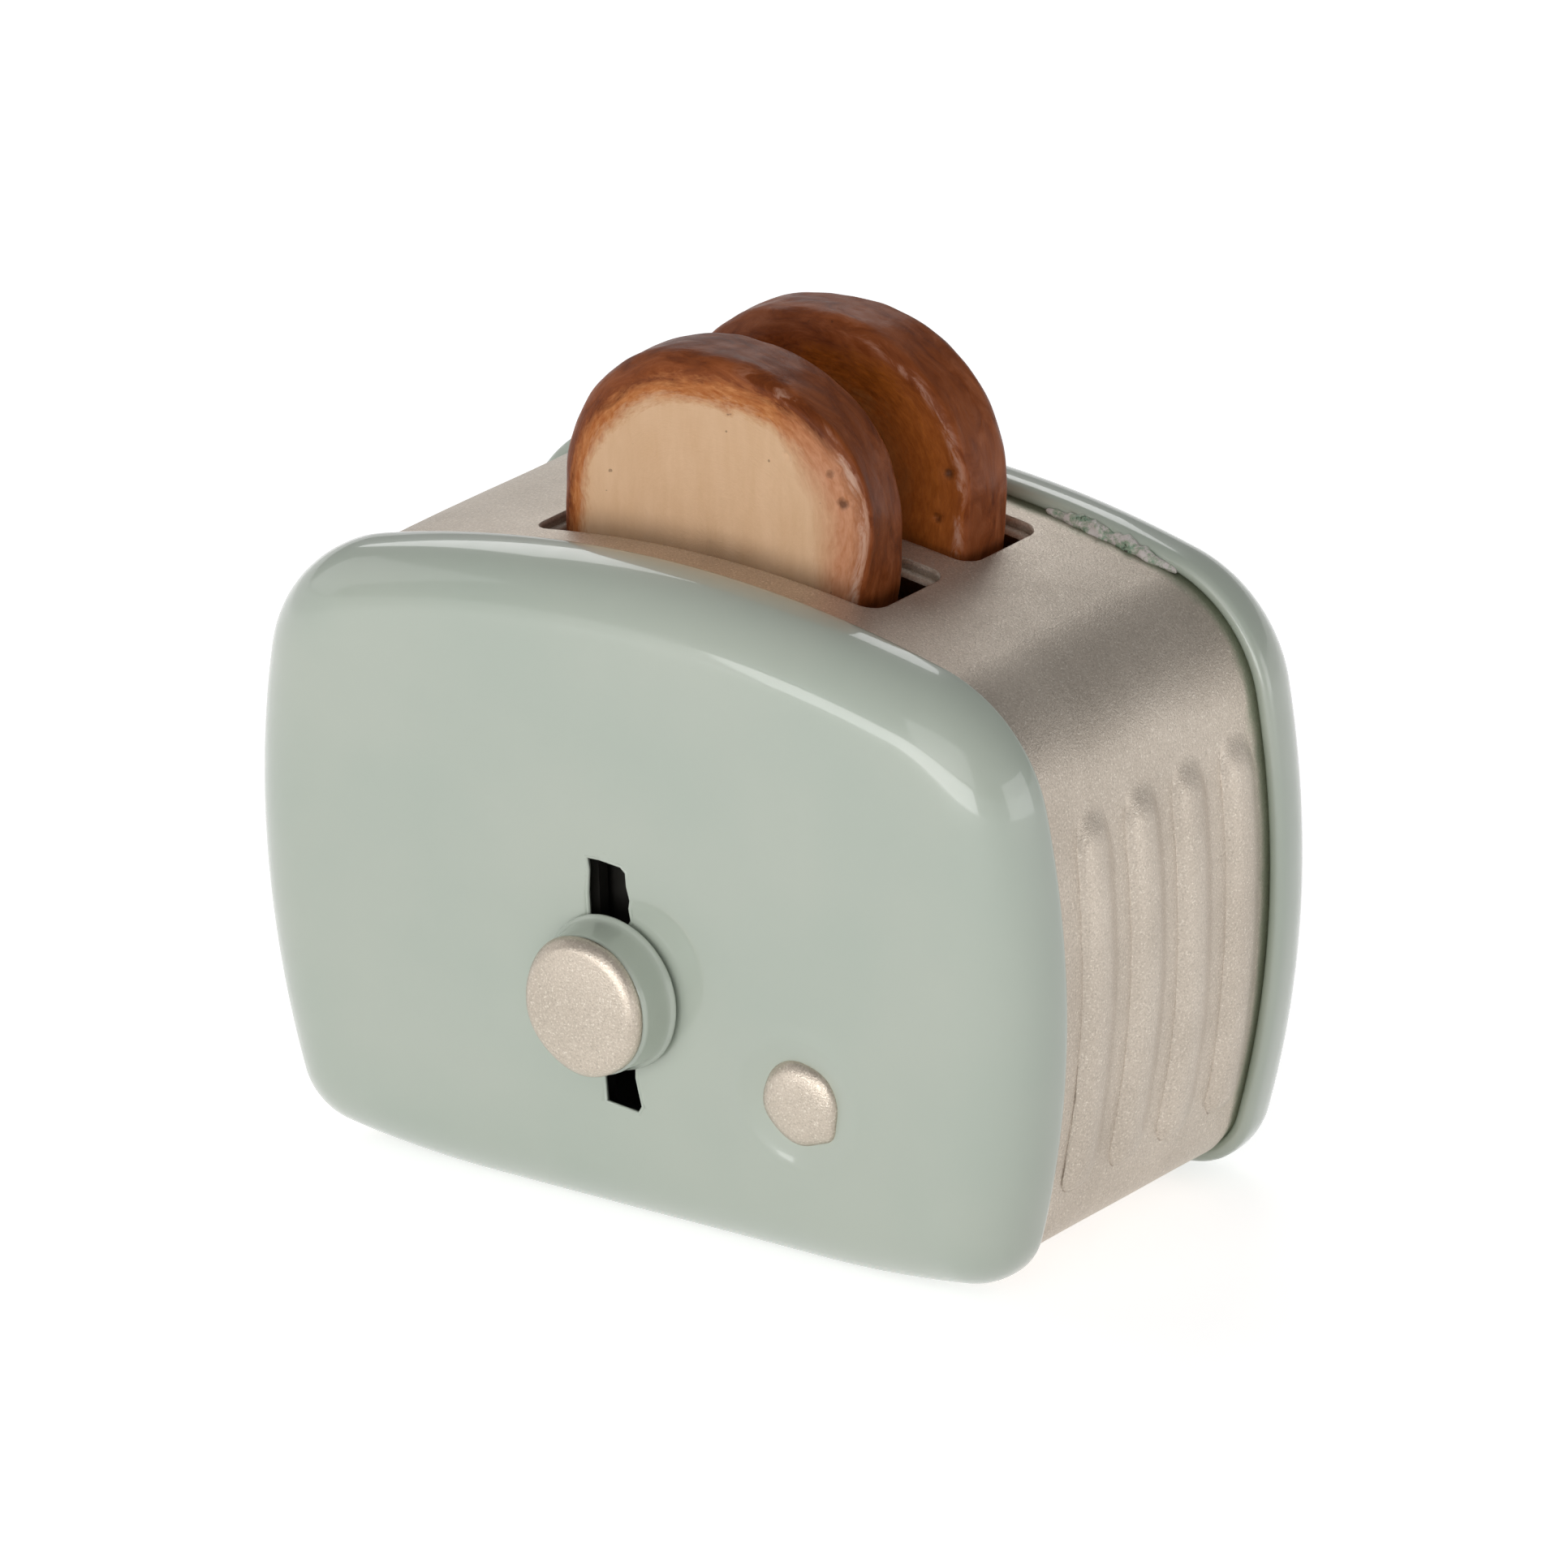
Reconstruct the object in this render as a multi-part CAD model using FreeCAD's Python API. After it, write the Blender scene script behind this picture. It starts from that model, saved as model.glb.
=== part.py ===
import FreeCAD, Part
import math
import os

# Toy toaster: two pressed sheet covers joined by a ribbed wrap-around body,
# with a sliding lever that raises two slices of bread. Millimetres, +Z up.
# The front face looks towards -Y.

# Covers
COVER_HALF_WIDTH = 26.0
COVER_HEIGHT = 38.4
COVER_DEPTH = 4.9
COVER_WALL = 1.0
COVER_FACE_ROUND = 4.0
COVER_LIP_ROUND = 0.35
COVER_SPACING = 30.3
FRONT_LEAN = 3.1
WIDEST_HEIGHT = 18.6
SIDE_RADIUS = 55.5
TOP_RADIUS = 72.6
TOP_CORNER_RADIUS = 8.9
BOTTOM_RADIUS = 62.0
BOTTOM_CORNER_RADIUS = 4.3
FOOT_HALF_LENGTH = 11.0

# Body between the covers
BODY_SHEET = 0.6
COVER_GAP = 0.33
COVER_OVERLAP = 1.0
BOTTOM_OPENING_HALF_WIDTH = 17.5

# Pressed ribs on both sides of the body
RIB_COUNT = 4
RIB_PITCH = 4.62
RIB_WIDTH = 2.7
RIB_RISE = 0.5
RIB_ROUND = 0.35
RIB_LOW = 5.7
RIB_HIGH = 27.8
RIB_MIDDLE_Y = 0.63

# Bread slots in the top of the body
SLOT_LENGTH = 22.0
SLOT_WIDTH = 6.2
SLOT_PITCH = 9.0
SLOT_MIDDLE_X = 0.35
SLOT_MIDDLE_Y = -0.1
SLOT_CORNER = 0.8
SLOT_LIP_DROP = 1.6
SLOT_EDGE_ROUND = 0.35

# Base plate
BASE_SHEET = 0.8
BASE_HALF_WIDTH = 20.5
BASE_FLANGE_HEIGHT = 1.7
BASE_END_GAP = 0.1

# Slices of bread
SLICE_HALF_WIDTH = 9.8
SLICE_HEIGHT = 21.0
SLICE_THICKNESS = 4.5
SLICE_EDGE_ROUND = 0.8
SLICE_WIDEST_HEIGHT = 12.5
SLICE_SIDE_RADIUS = 38.0
SLICE_TOP_RADIUS = 13.5
SLICE_TOP_CORNER = 8.6
SLICE_BOTTOM_RADIUS = 60.0
SLICE_BOTTOM_CORNER = 2.5
SLICE_FOOT_HALF_LENGTH = 4.0
SLICE_REST_HEIGHT = 27.5
SLICE_LEAN_FORWARD = 0.3
FRONT_SLICE_X = 0.2
REAR_SLICE_X = 0.9

# Lever: the knob's place on the front cover, and how far it travels
LEVER_X = -0.6
LEVER_Z = 14.3
TRAVEL_UP = 5.8
TRAVEL_DOWN = 5.2
STEM_WIDTH = 1.3
STEM_HEIGHT = 2.4
STEM_SIDE_GAP = 0.5
STEM_END_GAP = 0.25
STEM_IN_KNOB = 1.6
STEM_HEAD_RADIUS = 1.3
STEM_HEAD_HEIGHT = 0.5

# Knob and its cap
KNOB_GAP = 0.3
KNOB_RADIUS = 4.35
KNOB_TAPER = 0.2
KNOB_HEIGHT = 2.3
KNOB_ROUND = 0.5
KNOB_CAP_RADIUS = 3.8
KNOB_CAP_HEIGHT = 0.85
KNOB_CAP_ROUND = 0.55

# Small fixed button
BUTTON_X = 11.3
BUTTON_Z = 10.3
BUTTON_RADIUS = 2.4
BUTTON_EDGE = 0.25
BUTTON_DOME = 0.5
BUTTON_SHANK_RADIUS = 0.8
BUTTON_TAIL = 0.3
BUTTON_CLIP_RADIUS = 1.7
BUTTON_CLIP_SHEET = 0.5
DISH_RADIUS = 3.8
DISH_DEPTH = 0.4

# Guide bracket behind the front cover, with its two posts
BRACKET_SHEET = 0.8
BRACKET_HALF_WIDTH = 9.0
BRACKET_WINDOW_GAP = 0.9
EAR_SHEET = 0.8
EAR_WIDTH = 2.8
EAR_END_GAP = 0.6
POST_OFFSET = 7.0
POST_DEPTH = 4.6
POST_RADIUS = 0.75
POST_STICK_OUT = 0.7
CLIP_RADIUS = 1.5
CLIP_SHEET = 0.4

# Carriage that rides on the posts
CARRIAGE_SHEET = 0.8
CARRIAGE_GAP = 0.6
CARRIAGE_HALF_WIDTH = 4.8
CARRIAGE_TAIL = 3.4
YOKE_SHEET = 0.8
YOKE_MARGIN = 0.5
BUSH_LENGTH = 5.0
BUSH_RADIUS = 1.25
BUSH_CLEARANCE = 0.05

# Trays that hold the feet of the slices
TRAY_SHEET = 0.5
TRAY_LENGTH = 12.0
TRAY_LIP = 1.2
TRAY_CLEARANCE = 0.1
RACK_SHEET = 0.8
TRAY_RIVET_RADIUS = 0.6
TRAY_RIVET_SPACING = 5.0
TRAY_RIVET_HEAD_RADIUS = 1.0
TRAY_RIVET_HEAD = 0.4

# Leaf spring that holds the lever at any height
SPRING_SHEET = 0.2
SPRING_WIDTH = 2.2
SPRING_X = 3.3
SPRING_HALF_LENGTH = 2.0
SPRING_PAD = 0.9
SPRING_RUBBING_GAP = 0.03
SPRING_RIVET_RADIUS = 0.3
SPRING_RIVET_HEAD_RADIUS = 0.45
SPRING_RIVET_HEAD = 0.15

# Solder that joins the body to the covers
TACK_INSET = 0.1

# Working lengths for cutting solids: well beyond the part
REACH = 200.0
TOUCH = 1.0e-4

Vec = FreeCAD.Vector
X_AXIS = Vec(1, 0, 0)
Y_AXIS = Vec(0, 1, 0)
Z_AXIS = Vec(0, 0, 1)

BODY_INSET = COVER_WALL + COVER_GAP
BODY_INNER_INSET = BODY_INSET + BODY_SHEET
BASE_INNER_INSET = BODY_INNER_INSET + BASE_SHEET
BRACKET_BACK = COVER_WALL + BRACKET_SHEET
CARRIAGE_FRONT = BRACKET_BACK + CARRIAGE_GAP
CARRIAGE_BACK = CARRIAGE_FRONT + CARRIAGE_SHEET
BRACKET_WINDOW = STEM_WIDTH / 2 + BRACKET_WINDOW_GAP
SLOT_HALF_WIDTH = STEM_WIDTH / 2 + STEM_SIDE_GAP
SLOT_REACH_UP = TRAVEL_UP + STEM_HEIGHT / 2 + STEM_END_GAP
SLOT_REACH_DOWN = TRAVEL_DOWN + STEM_HEIGHT / 2 + STEM_END_GAP
EAR_UP = TRAVEL_UP + BUSH_LENGTH / 2 + EAR_END_GAP
EAR_DOWN = TRAVEL_DOWN + BUSH_LENGTH / 2 + EAR_END_GAP
EAR_BACK = POST_DEPTH + CLIP_RADIUS
RACK_TOP = SLICE_REST_HEIGHT - TRAY_SHEET
RACK_BOTTOM = RACK_TOP - RACK_SHEET
TRAY_HALF_WIDTH = SLICE_THICKNESS / 2 + TRAY_CLEARANCE + TRAY_SHEET
FRONT_SLOT_Y = SLOT_MIDDLE_Y - SLOT_PITCH / 2
REAR_SLOT_Y = SLOT_MIDDLE_Y + SLOT_PITCH / 2
FRONT_SLICE_Y = FRONT_SLOT_Y - SLICE_LEAN_FORWARD
REAR_SLICE_Y = REAR_SLOT_Y - SLICE_LEAN_FORWARD

# A cover's own frame: X across, Y inwards from the outer face, Z up the face.
# The front frame stands at the knob and leans with the front cover.
LEAN_RUN = (LEVER_Z - COVER_HEIGHT / 2) * math.tan(math.radians(FRONT_LEAN))
FRONT = FreeCAD.Placement(
    Vec(0, -COVER_SPACING / 2 - LEAN_RUN, LEVER_Z), FreeCAD.Rotation(X_AXIS, FRONT_LEAN))
BACK = FreeCAD.Placement(
    Vec(0, COVER_SPACING / 2, LEVER_Z), FreeCAD.Rotation(Z_AXIS, 180))


# Outlines and simple solids

def meeting_point(centre_a, reach_a, centre_b, reach_b):
    """The outer point at reach_a from centre_a and reach_b from centre_b, in the XZ plane."""
    apart = centre_b - centre_a
    along = (reach_a**2 - reach_b**2 + apart.Length**2) / (2 * apart.Length)
    across = math.sqrt(reach_a**2 - along**2)
    unit = Vec(apart).normalize()
    side = Vec(unit.z, 0, -unit.x)
    first = centre_a + unit * along + side * across
    second = centre_a + unit * along - side * across
    return first if first.x > second.x else second


def arc_between(centre, radius, start, end):
    """The short arc about a centre from one point to another."""
    middle = centre + ((start - centre) + (end - centre)).normalize() * radius
    return Part.Arc(start, middle, end).toShape()


def towards(centre, target, radius):
    return centre + (target - centre).normalize() * radius


def mirrored(point):
    return Vec(-point.x, point.y, point.z)


def barrel_face(size, inset):
    """A soft-cornered face with bulging sides, moved inwards by inset, in the XZ plane."""
    top_centre = Vec(0, 0, size["height"] - size["top"])
    side_centre = Vec(size["half_width"] - size["side"], 0, size["widest"])
    low_centre = Vec(size["foot"], 0, size["bottom"])
    upper = meeting_point(top_centre, size["top"] - size["top_corner"],
                          side_centre, size["side"] - size["top_corner"])
    lower = meeting_point(low_centre, size["bottom"] - size["bottom_corner"],
                          side_centre, size["side"] - size["bottom_corner"])
    foot = Vec(size["foot"], 0, inset)
    low_end = towards(low_centre, lower, size["bottom"] - inset)
    side_low = towards(side_centre, lower, size["side"] - inset)
    side_high = towards(side_centre, upper, size["side"] - inset)
    top_end = towards(top_centre, upper, size["top"] - inset)
    right = [
        (low_centre, size["bottom"] - inset, foot, low_end),
        (lower, size["bottom_corner"] - inset, low_end, side_low),
        (side_centre, size["side"] - inset, side_low, side_high),
        (upper, size["top_corner"] - inset, side_high, top_end),
    ]
    edges = [Part.LineSegment(mirrored(foot), foot).toShape()]
    edges += [arc_between(*arc) for arc in right]
    edges.append(arc_between(top_centre, size["top"] - inset, top_end, mirrored(top_end)))
    for centre, radius, start, end in reversed(right):
        edges.append(arc_between(mirrored(centre), radius, mirrored(end), mirrored(start)))
    return Part.Face(Part.Wire(edges))


COVER_SIZE = {
    "half_width": COVER_HALF_WIDTH, "height": COVER_HEIGHT, "widest": WIDEST_HEIGHT,
    "side": SIDE_RADIUS, "top": TOP_RADIUS, "bottom": BOTTOM_RADIUS,
    "top_corner": TOP_CORNER_RADIUS, "bottom_corner": BOTTOM_CORNER_RADIUS,
    "foot": FOOT_HALF_LENGTH,
}
SLICE_SIZE = {
    "half_width": SLICE_HALF_WIDTH, "height": SLICE_HEIGHT, "widest": SLICE_WIDEST_HEIGHT,
    "side": SLICE_SIDE_RADIUS, "top": SLICE_TOP_RADIUS, "bottom": SLICE_BOTTOM_RADIUS,
    "top_corner": SLICE_TOP_CORNER, "bottom_corner": SLICE_BOTTOM_CORNER,
    "foot": SLICE_FOOT_HALF_LENGTH,
}


def prism(inset):
    """The covers' outline, moved inwards by inset, as a long bar along Y."""
    face = barrel_face(COVER_SIZE, inset)
    face.translate(Vec(0, -REACH / 2, 0))
    return face.extrude(Vec(0, REACH, 0))


def block(low, high):
    """A box between two corners."""
    size = Vec(*high) - Vec(*low)
    return Part.makeBox(size.x, size.y, size.z, Vec(*low))


def placed(shape, frame):
    """A shape drawn in a cover's own frame, moved to its place."""
    moved = shape.copy()
    moved.Placement = frame.multiply(moved.Placement)
    return moved


def slab(frame, low, high):
    """Everything between two depths behind a cover's outer face."""
    return placed(block((-REACH / 2, low, -REACH / 2), (REACH / 2, high, REACH / 2)), frame)


def rod(x, depth, z, radius, axis, length):
    return Part.makeCylinder(radius, length, Vec(x, depth, z), axis)


def at_lever(shape):
    """A shape drawn about the knob's axis, moved to the knob's place on the front cover."""
    moved = shape.copy()
    moved.translate(Vec(LEVER_X, 0, 0))
    return placed(moved, FRONT)


def edges_at_depth(shape, frame, depth):
    """The edges that lie in one plane parallel to a cover's face."""
    home = frame.inverse()
    found = []
    for edge in shape.Edges:
        samples = edge.discretize(3)
        if all(abs(home.multVec(point).y - depth) < TOUCH for point in samples):
            found.append(edge)
    return found


# Covers

def cover(frame):
    """A pressed shell, open at the back, with its face in the frame's XZ plane."""
    outer = prism(0).common(slab(frame, 0, COVER_DEPTH))
    outer = outer.makeFillet(COVER_FACE_ROUND, edges_at_depth(outer, frame, 0))
    outer = outer.makeFillet(COVER_LIP_ROUND, edges_at_depth(outer, frame, COVER_DEPTH))
    inner = prism(COVER_WALL).common(slab(frame, COVER_WALL, 2 * COVER_DEPTH))
    inner = inner.makeFillet(COVER_FACE_ROUND - COVER_WALL,
                             edges_at_depth(inner, frame, COVER_WALL))
    return outer.cut(inner)


def lever_slot():
    """The hand-cut slot: a bar with uneven edges. Each pair moves a point off the plain bar."""
    half = SLOT_HALF_WIDTH
    up = SLOT_REACH_UP
    down = SLOT_REACH_DOWN
    points = [
        (-half - 0.25, up), (-half + 0.45, up + 0.18), (half - 0.35, up + 0.15),
        (half - 0.1, up - 0.2), (half - 0.1, up - 0.9), (half + 0.1, up - 1.7),
        (half, up - 2.2), (half + 0.12, up - 2.9), (half - 0.15, up - 3.3),
        (half, up - 4.4), (half + 0.08, -down + 2.4), (half + 0.05, -down + 1.7),
        (half + 0.4, -down + 0.35), (half + 0.15, -down - 0.15), (-half + 0.25, -down),
        (-half + 0.2, -down + 1.5), (-half - 0.05, up - 4.6), (-half - 0.25, up - 3.5),
        (-half - 0.18, up - 1.8), (-half - 0.05, up - 0.5),
    ]
    corners = [Vec(x, -COVER_WALL, z) for x, z in points]
    outline = Part.makePolygon(corners + corners[:1])
    return Part.Face(outline).extrude(Vec(0, 3 * COVER_WALL, 0))


def button_dish():
    """The shallow dish pressed round the button, as the ball that cuts it."""
    ball_radius = (DISH_RADIUS**2 + DISH_DEPTH**2) / (2 * DISH_DEPTH)
    ball = Part.makeSphere(ball_radius, Vec(BUTTON_X, DISH_DEPTH - ball_radius, 0))
    return at_button_height(ball)


def at_button_height(shape):
    moved = shape.copy()
    moved.translate(Vec(0, 0, (BUTTON_Z - LEVER_Z) / math.cos(math.radians(FRONT_LEAN))))
    return placed(moved, FRONT)


def front_cover():
    shell = cover(FRONT)
    shell = shell.cut(at_lever(lever_slot()))
    shell = shell.cut(button_dish())
    shank_hole = rod(BUTTON_X, 0, 0, BUTTON_SHANK_RADIUS, Y_AXIS, 2 * COVER_WALL)
    return shell.cut(at_button_height(shank_hole))


def back_cover():
    return cover(BACK)


def button():
    """A domed head seated in the dish, with a shank through the cover and a peened tail."""
    head_low = DISH_DEPTH - BUTTON_EDGE
    edge = rod(BUTTON_X, head_low, 0, BUTTON_RADIUS, Y_AXIS, BUTTON_EDGE + COVER_WALL)
    dome_radius = (BUTTON_RADIUS**2 + BUTTON_DOME**2) / (2 * BUTTON_DOME)
    dome = Part.makeSphere(dome_radius, Vec(BUTTON_X, head_low - BUTTON_DOME + dome_radius, 0))
    front = block((-REACH, -REACH, -REACH), (REACH, head_low, REACH))
    head = edge.fuse(dome.common(front).common(
        rod(BUTTON_X, -COVER_WALL, 0, BUTTON_RADIUS, Y_AXIS, 2 * COVER_WALL)))
    seat_radius = (DISH_RADIUS**2 + DISH_DEPTH**2) / (2 * DISH_DEPTH)
    seat = Part.makeSphere(seat_radius, Vec(BUTTON_X, DISH_DEPTH - seat_radius, 0))
    head = head.common(seat)
    shank_length = COVER_WALL + BUTTON_CLIP_SHEET + BUTTON_TAIL
    shank = rod(BUTTON_X, head_low, 0, BUTTON_SHANK_RADIUS, Y_AXIS, shank_length - head_low)
    return at_button_height(head.fuse(shank).removeSplitter())


def button_clip():
    """The push-on washer that holds the button's shank behind the cover."""
    disc = rod(BUTTON_X, COVER_WALL, 0, BUTTON_CLIP_RADIUS, Y_AXIS, BUTTON_CLIP_SHEET)
    hole = rod(BUTTON_X, COVER_WALL, 0, BUTTON_SHANK_RADIUS, Y_AXIS, BUTTON_CLIP_SHEET)
    return at_button_height(disc.cut(hole))


# Body

def between_covers(shape, front_margin, back_margin):
    """The stretch of a bar along Y that lies between the covers, ending inside their rims."""
    start = COVER_DEPTH - COVER_OVERLAP
    shape = shape.common(slab(FRONT, start + front_margin, REACH))
    return shape.common(slab(BACK, start + back_margin, REACH))


def side_drum(inset):
    """The drum whose surface is the right side of the covers' outline, moved inwards."""
    return Part.makeCylinder(SIDE_RADIUS - inset, REACH,
                             Vec(COVER_HALF_WIDTH - SIDE_RADIUS, -REACH / 2, WIDEST_HEIGHT), Y_AXIS)


def rib_bar(y, width):
    """An upright bar with round ends, seen from the side, at one rib's place."""
    half = width / 2
    low = RIB_LOW + RIB_WIDTH / 2
    high = RIB_HIGH - RIB_WIDTH / 2
    start = COVER_HALF_WIDTH - 2 * BODY_INSET - BODY_SHEET
    length = 4 * BODY_INSET
    bar = block((start, y - half, low), (start + length, y + half, high))
    ends = [rod(start, y, z, half, X_AXIS, length) for z in (low, high)]
    return bar.fuse(ends).removeSplitter()


def outer_rib(y):
    rib = rib_bar(y, RIB_WIDTH).common(side_drum(BODY_INSET - RIB_RISE))
    crown = [edge for edge in rib.Edges if on_drum(edge, BODY_INSET - RIB_RISE)]
    rib = rib.makeFillet(RIB_ROUND, crown)
    return rib.cut(side_drum(BODY_INSET + BODY_SHEET / 2))


def rib_groove(y):
    width = RIB_WIDTH - 2 * BODY_SHEET
    return rib_bar(y, width).common(side_drum(BODY_INSET - RIB_RISE + BODY_SHEET))


def on_drum(edge, inset):
    centre = Vec(COVER_HALF_WIDTH - SIDE_RADIUS, 0, WIDEST_HEIGHT)
    for point in edge.discretize(3):
        reach = math.hypot(point.x - centre.x, point.z - centre.z)
        if abs(reach - SIDE_RADIUS + inset) > TOUCH:
            return False
    return True


def flipped(shape):
    return shape.mirror(Vec(0, 0, 0), X_AXIS)


def rib_places():
    first = RIB_MIDDLE_Y - RIB_PITCH * (RIB_COUNT - 1) / 2
    return [first + RIB_PITCH * index for index in range(RIB_COUNT)]


def slot_block(y, grow):
    """A bread slot, larger all round by grow, as an upright block with round corners."""
    half_x = SLOT_LENGTH / 2 + grow
    half_y = SLOT_WIDTH / 2 + grow
    bottom = COVER_HEIGHT / 2
    solid = block((SLOT_MIDDLE_X - half_x, y - half_y, bottom),
                  (SLOT_MIDDLE_X + half_x, y + half_y, COVER_HEIGHT))
    upright = [edge for edge in solid.Edges if abs(edge.tangentAt(edge.FirstParameter).z) > 0.5]
    return solid.makeFillet(SLOT_CORNER + grow, upright)


def slot_rim_edges(shape, y):
    """The edges round a bread slot where it meets the outer surface of the top."""
    half_x = SLOT_LENGTH / 2 + TOUCH
    half_y = SLOT_WIDTH / 2 + TOUCH
    low = COVER_HEIGHT - BODY_INNER_INSET - SLOT_LENGTH**2 / (6 * TOP_RADIUS)
    found = []
    for edge in shape.Edges:
        box = edge.BoundBox
        inside_x = abs(box.XMin - SLOT_MIDDLE_X) < half_x and abs(box.XMax - SLOT_MIDDLE_X) < half_x
        inside_y = abs(box.YMin - y) < half_y and abs(box.YMax - y) < half_y
        upright = abs(edge.tangentAt(edge.FirstParameter).z) > 0.5
        if inside_x and inside_y and box.ZMin > low and not upright:
            found.append(edge)
    return found


def body_shell():
    """One sheet bent round the toaster, with pressed ribs and turned-down slot lips."""
    outer = prism(BODY_INSET)
    shell = outer.cut(prism(BODY_INNER_INSET))
    shell = between_covers(shell, 0, 0)
    shell = shell.cut(block((-BOTTOM_OPENING_HALF_WIDTH, -REACH, -REACH),
                            (BOTTOM_OPENING_HALF_WIDTH, REACH, WIDEST_HEIGHT / 2)))
    ribs = [outer_rib(y) for y in rib_places()]
    grooves = [rib_groove(y) for y in rib_places()]
    shell = shell.fuse(ribs + [flipped(rib) for rib in ribs])
    shell = shell.cut(grooves + [flipped(groove) for groove in grooves])
    lip_layer = outer.cut(prism(BODY_INSET + SLOT_LIP_DROP))
    for y in (FRONT_SLOT_Y, REAR_SLOT_Y):
        shell = shell.fuse(lip_layer.common(slot_block(y, BODY_SHEET)))
    for y in (FRONT_SLOT_Y, REAR_SLOT_Y):
        shell = shell.cut(slot_block(y, 0))
    shell = shell.removeSplitter()
    for y in (FRONT_SLOT_Y, REAR_SLOT_Y):
        shell = shell.makeFillet(SLOT_EDGE_ROUND, slot_rim_edges(shell, y))
    return shell


def base_plate():
    """The sheet that closes the bottom, inside the body, with a turned-up flange at each end."""
    low_zone = block((-BASE_HALF_WIDTH, -REACH, 0), (BASE_HALF_WIDTH, REACH, WIDEST_HEIGHT / 3))
    layer = prism(BODY_INNER_INSET)
    floor = between_covers(layer.cut(prism(BASE_INNER_INSET)), BASE_END_GAP, BASE_END_GAP)
    floor = floor.common(low_zone)
    start = COVER_DEPTH - COVER_OVERLAP + BASE_END_GAP
    flange_zone = block((-BASE_HALF_WIDTH, -REACH, 0),
                        (BASE_HALF_WIDTH, REACH, BODY_INNER_INSET + BASE_FLANGE_HEIGHT))
    flanges = [layer.common(slab(frame, start, start + BASE_SHEET)).common(flange_zone)
               for frame in (FRONT, BACK)]
    return floor.fuse(flanges).removeSplitter()


def solder_tacks(frame):
    """Solder in the gap between a cover's rim and the body, at five places round it."""
    gap = prism(COVER_WALL).cut(prism(BODY_INSET))
    gap = gap.common(slab(frame, COVER_DEPTH - COVER_OVERLAP + TACK_INSET, COVER_DEPTH - TACK_INSET))
    side = COVER_HALF_WIDTH / 2
    low = COVER_HEIGHT / 3
    high = COVER_HEIGHT / 2
    zones = [
        block((-side / 2, -REACH, high), (side / 2, REACH, REACH)),
        block((side, -REACH, low), (REACH, REACH, high)),
        block((-REACH, -REACH, low), (-side, REACH, high)),
        block((side, -REACH, -REACH), (side * 1.5, REACH, low)),
        block((-side * 1.5, -REACH, -REACH), (-side, REACH, low)),
    ]
    return Part.makeCompound([gap.common(zone).Solids[0] for zone in zones])


# Lever guide, fixed behind the front cover

def guide_bracket():
    """A plate on the cover's inner face, with two pairs of ears that hold the posts."""
    plate = block((-BRACKET_HALF_WIDTH, COVER_WALL, -EAR_DOWN - EAR_SHEET),
                  (BRACKET_HALF_WIDTH, BRACKET_BACK, EAR_UP + EAR_SHEET))
    parts = []
    for side in (-1, 1):
        for low in (-EAR_DOWN - EAR_SHEET, EAR_UP):
            middle = side * POST_OFFSET
            parts.append(block((middle - EAR_WIDTH / 2, COVER_WALL, low),
                               (middle + EAR_WIDTH / 2, EAR_BACK, low + EAR_SHEET)))
    bracket = plate.fuse(parts).removeSplitter()
    window = block((-BRACKET_WINDOW, 0, -SLOT_REACH_DOWN - BRACKET_WINDOW_GAP),
                   (BRACKET_WINDOW, EAR_BACK, SLOT_REACH_UP + BRACKET_WINDOW_GAP))
    bracket = bracket.cut(window)
    for side in (-1, 1):
        bracket = bracket.cut(post_rod(side, POST_RADIUS))
    return at_lever(bracket)


def post_rod(side, radius):
    """A rod along a post's axis, from end to end of the post."""
    low = -EAR_DOWN - EAR_SHEET - POST_STICK_OUT
    high = EAR_UP + EAR_SHEET + POST_STICK_OUT
    return rod(side * POST_OFFSET, POST_DEPTH, low, radius, Z_AXIS, high - low)


def post(side):
    return at_lever(post_rod(side, POST_RADIUS))


def post_clips():
    """Four retaining rings, one outside each ear."""
    rings = []
    for side in (-1, 1):
        for low in (-EAR_DOWN - EAR_SHEET - CLIP_SHEET, EAR_UP + EAR_SHEET):
            ring = rod(side * POST_OFFSET, POST_DEPTH, low, CLIP_RADIUS, Z_AXIS, CLIP_SHEET)
            rings.append(at_lever(ring.cut(post_rod(side, POST_RADIUS))))
    return Part.makeCompound(rings)


# Sliding lever and carriage

def stem_bar(start, end):
    return block((-STEM_WIDTH / 2, start, -STEM_HEIGHT / 2), (STEM_WIDTH / 2, end, STEM_HEIGHT / 2))


def lever_stem():
    """The flat bar from the carriage through the slot into the knob, peened behind."""
    bar = stem_bar(-KNOB_GAP - STEM_IN_KNOB, CARRIAGE_BACK + STEM_HEAD_HEIGHT)
    head = rod(0, CARRIAGE_BACK, 0, STEM_HEAD_RADIUS, Y_AXIS, STEM_HEAD_HEIGHT)
    return at_lever(bar.fuse(head).removeSplitter())


def turned(profile):
    """A solid turned about the knob's axis from (radius, depth) points and one arc at the rim."""
    face = Part.Face(Part.Wire(profile))
    return face.revolve(Vec(0, 0, 0), Y_AXIS, 360)


def lever_knob():
    """The barrel of the knob, slightly tapered, with a softened front edge."""
    back = -KNOB_GAP
    front = back - KNOB_HEIGHT
    barrel = Part.makeCone(KNOB_RADIUS, KNOB_RADIUS - KNOB_TAPER, KNOB_HEIGHT,
                           Vec(0, back, 0), Vec(0, -1, 0))
    rim = [edge for edge in barrel.Edges
           if all(abs(point.y - front) < TOUCH for point in edge.discretize(3))]
    barrel = barrel.makeFillet(KNOB_ROUND, rim)
    return at_lever(barrel.cut(stem_bar(back - STEM_IN_KNOB, 0)))


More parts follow.
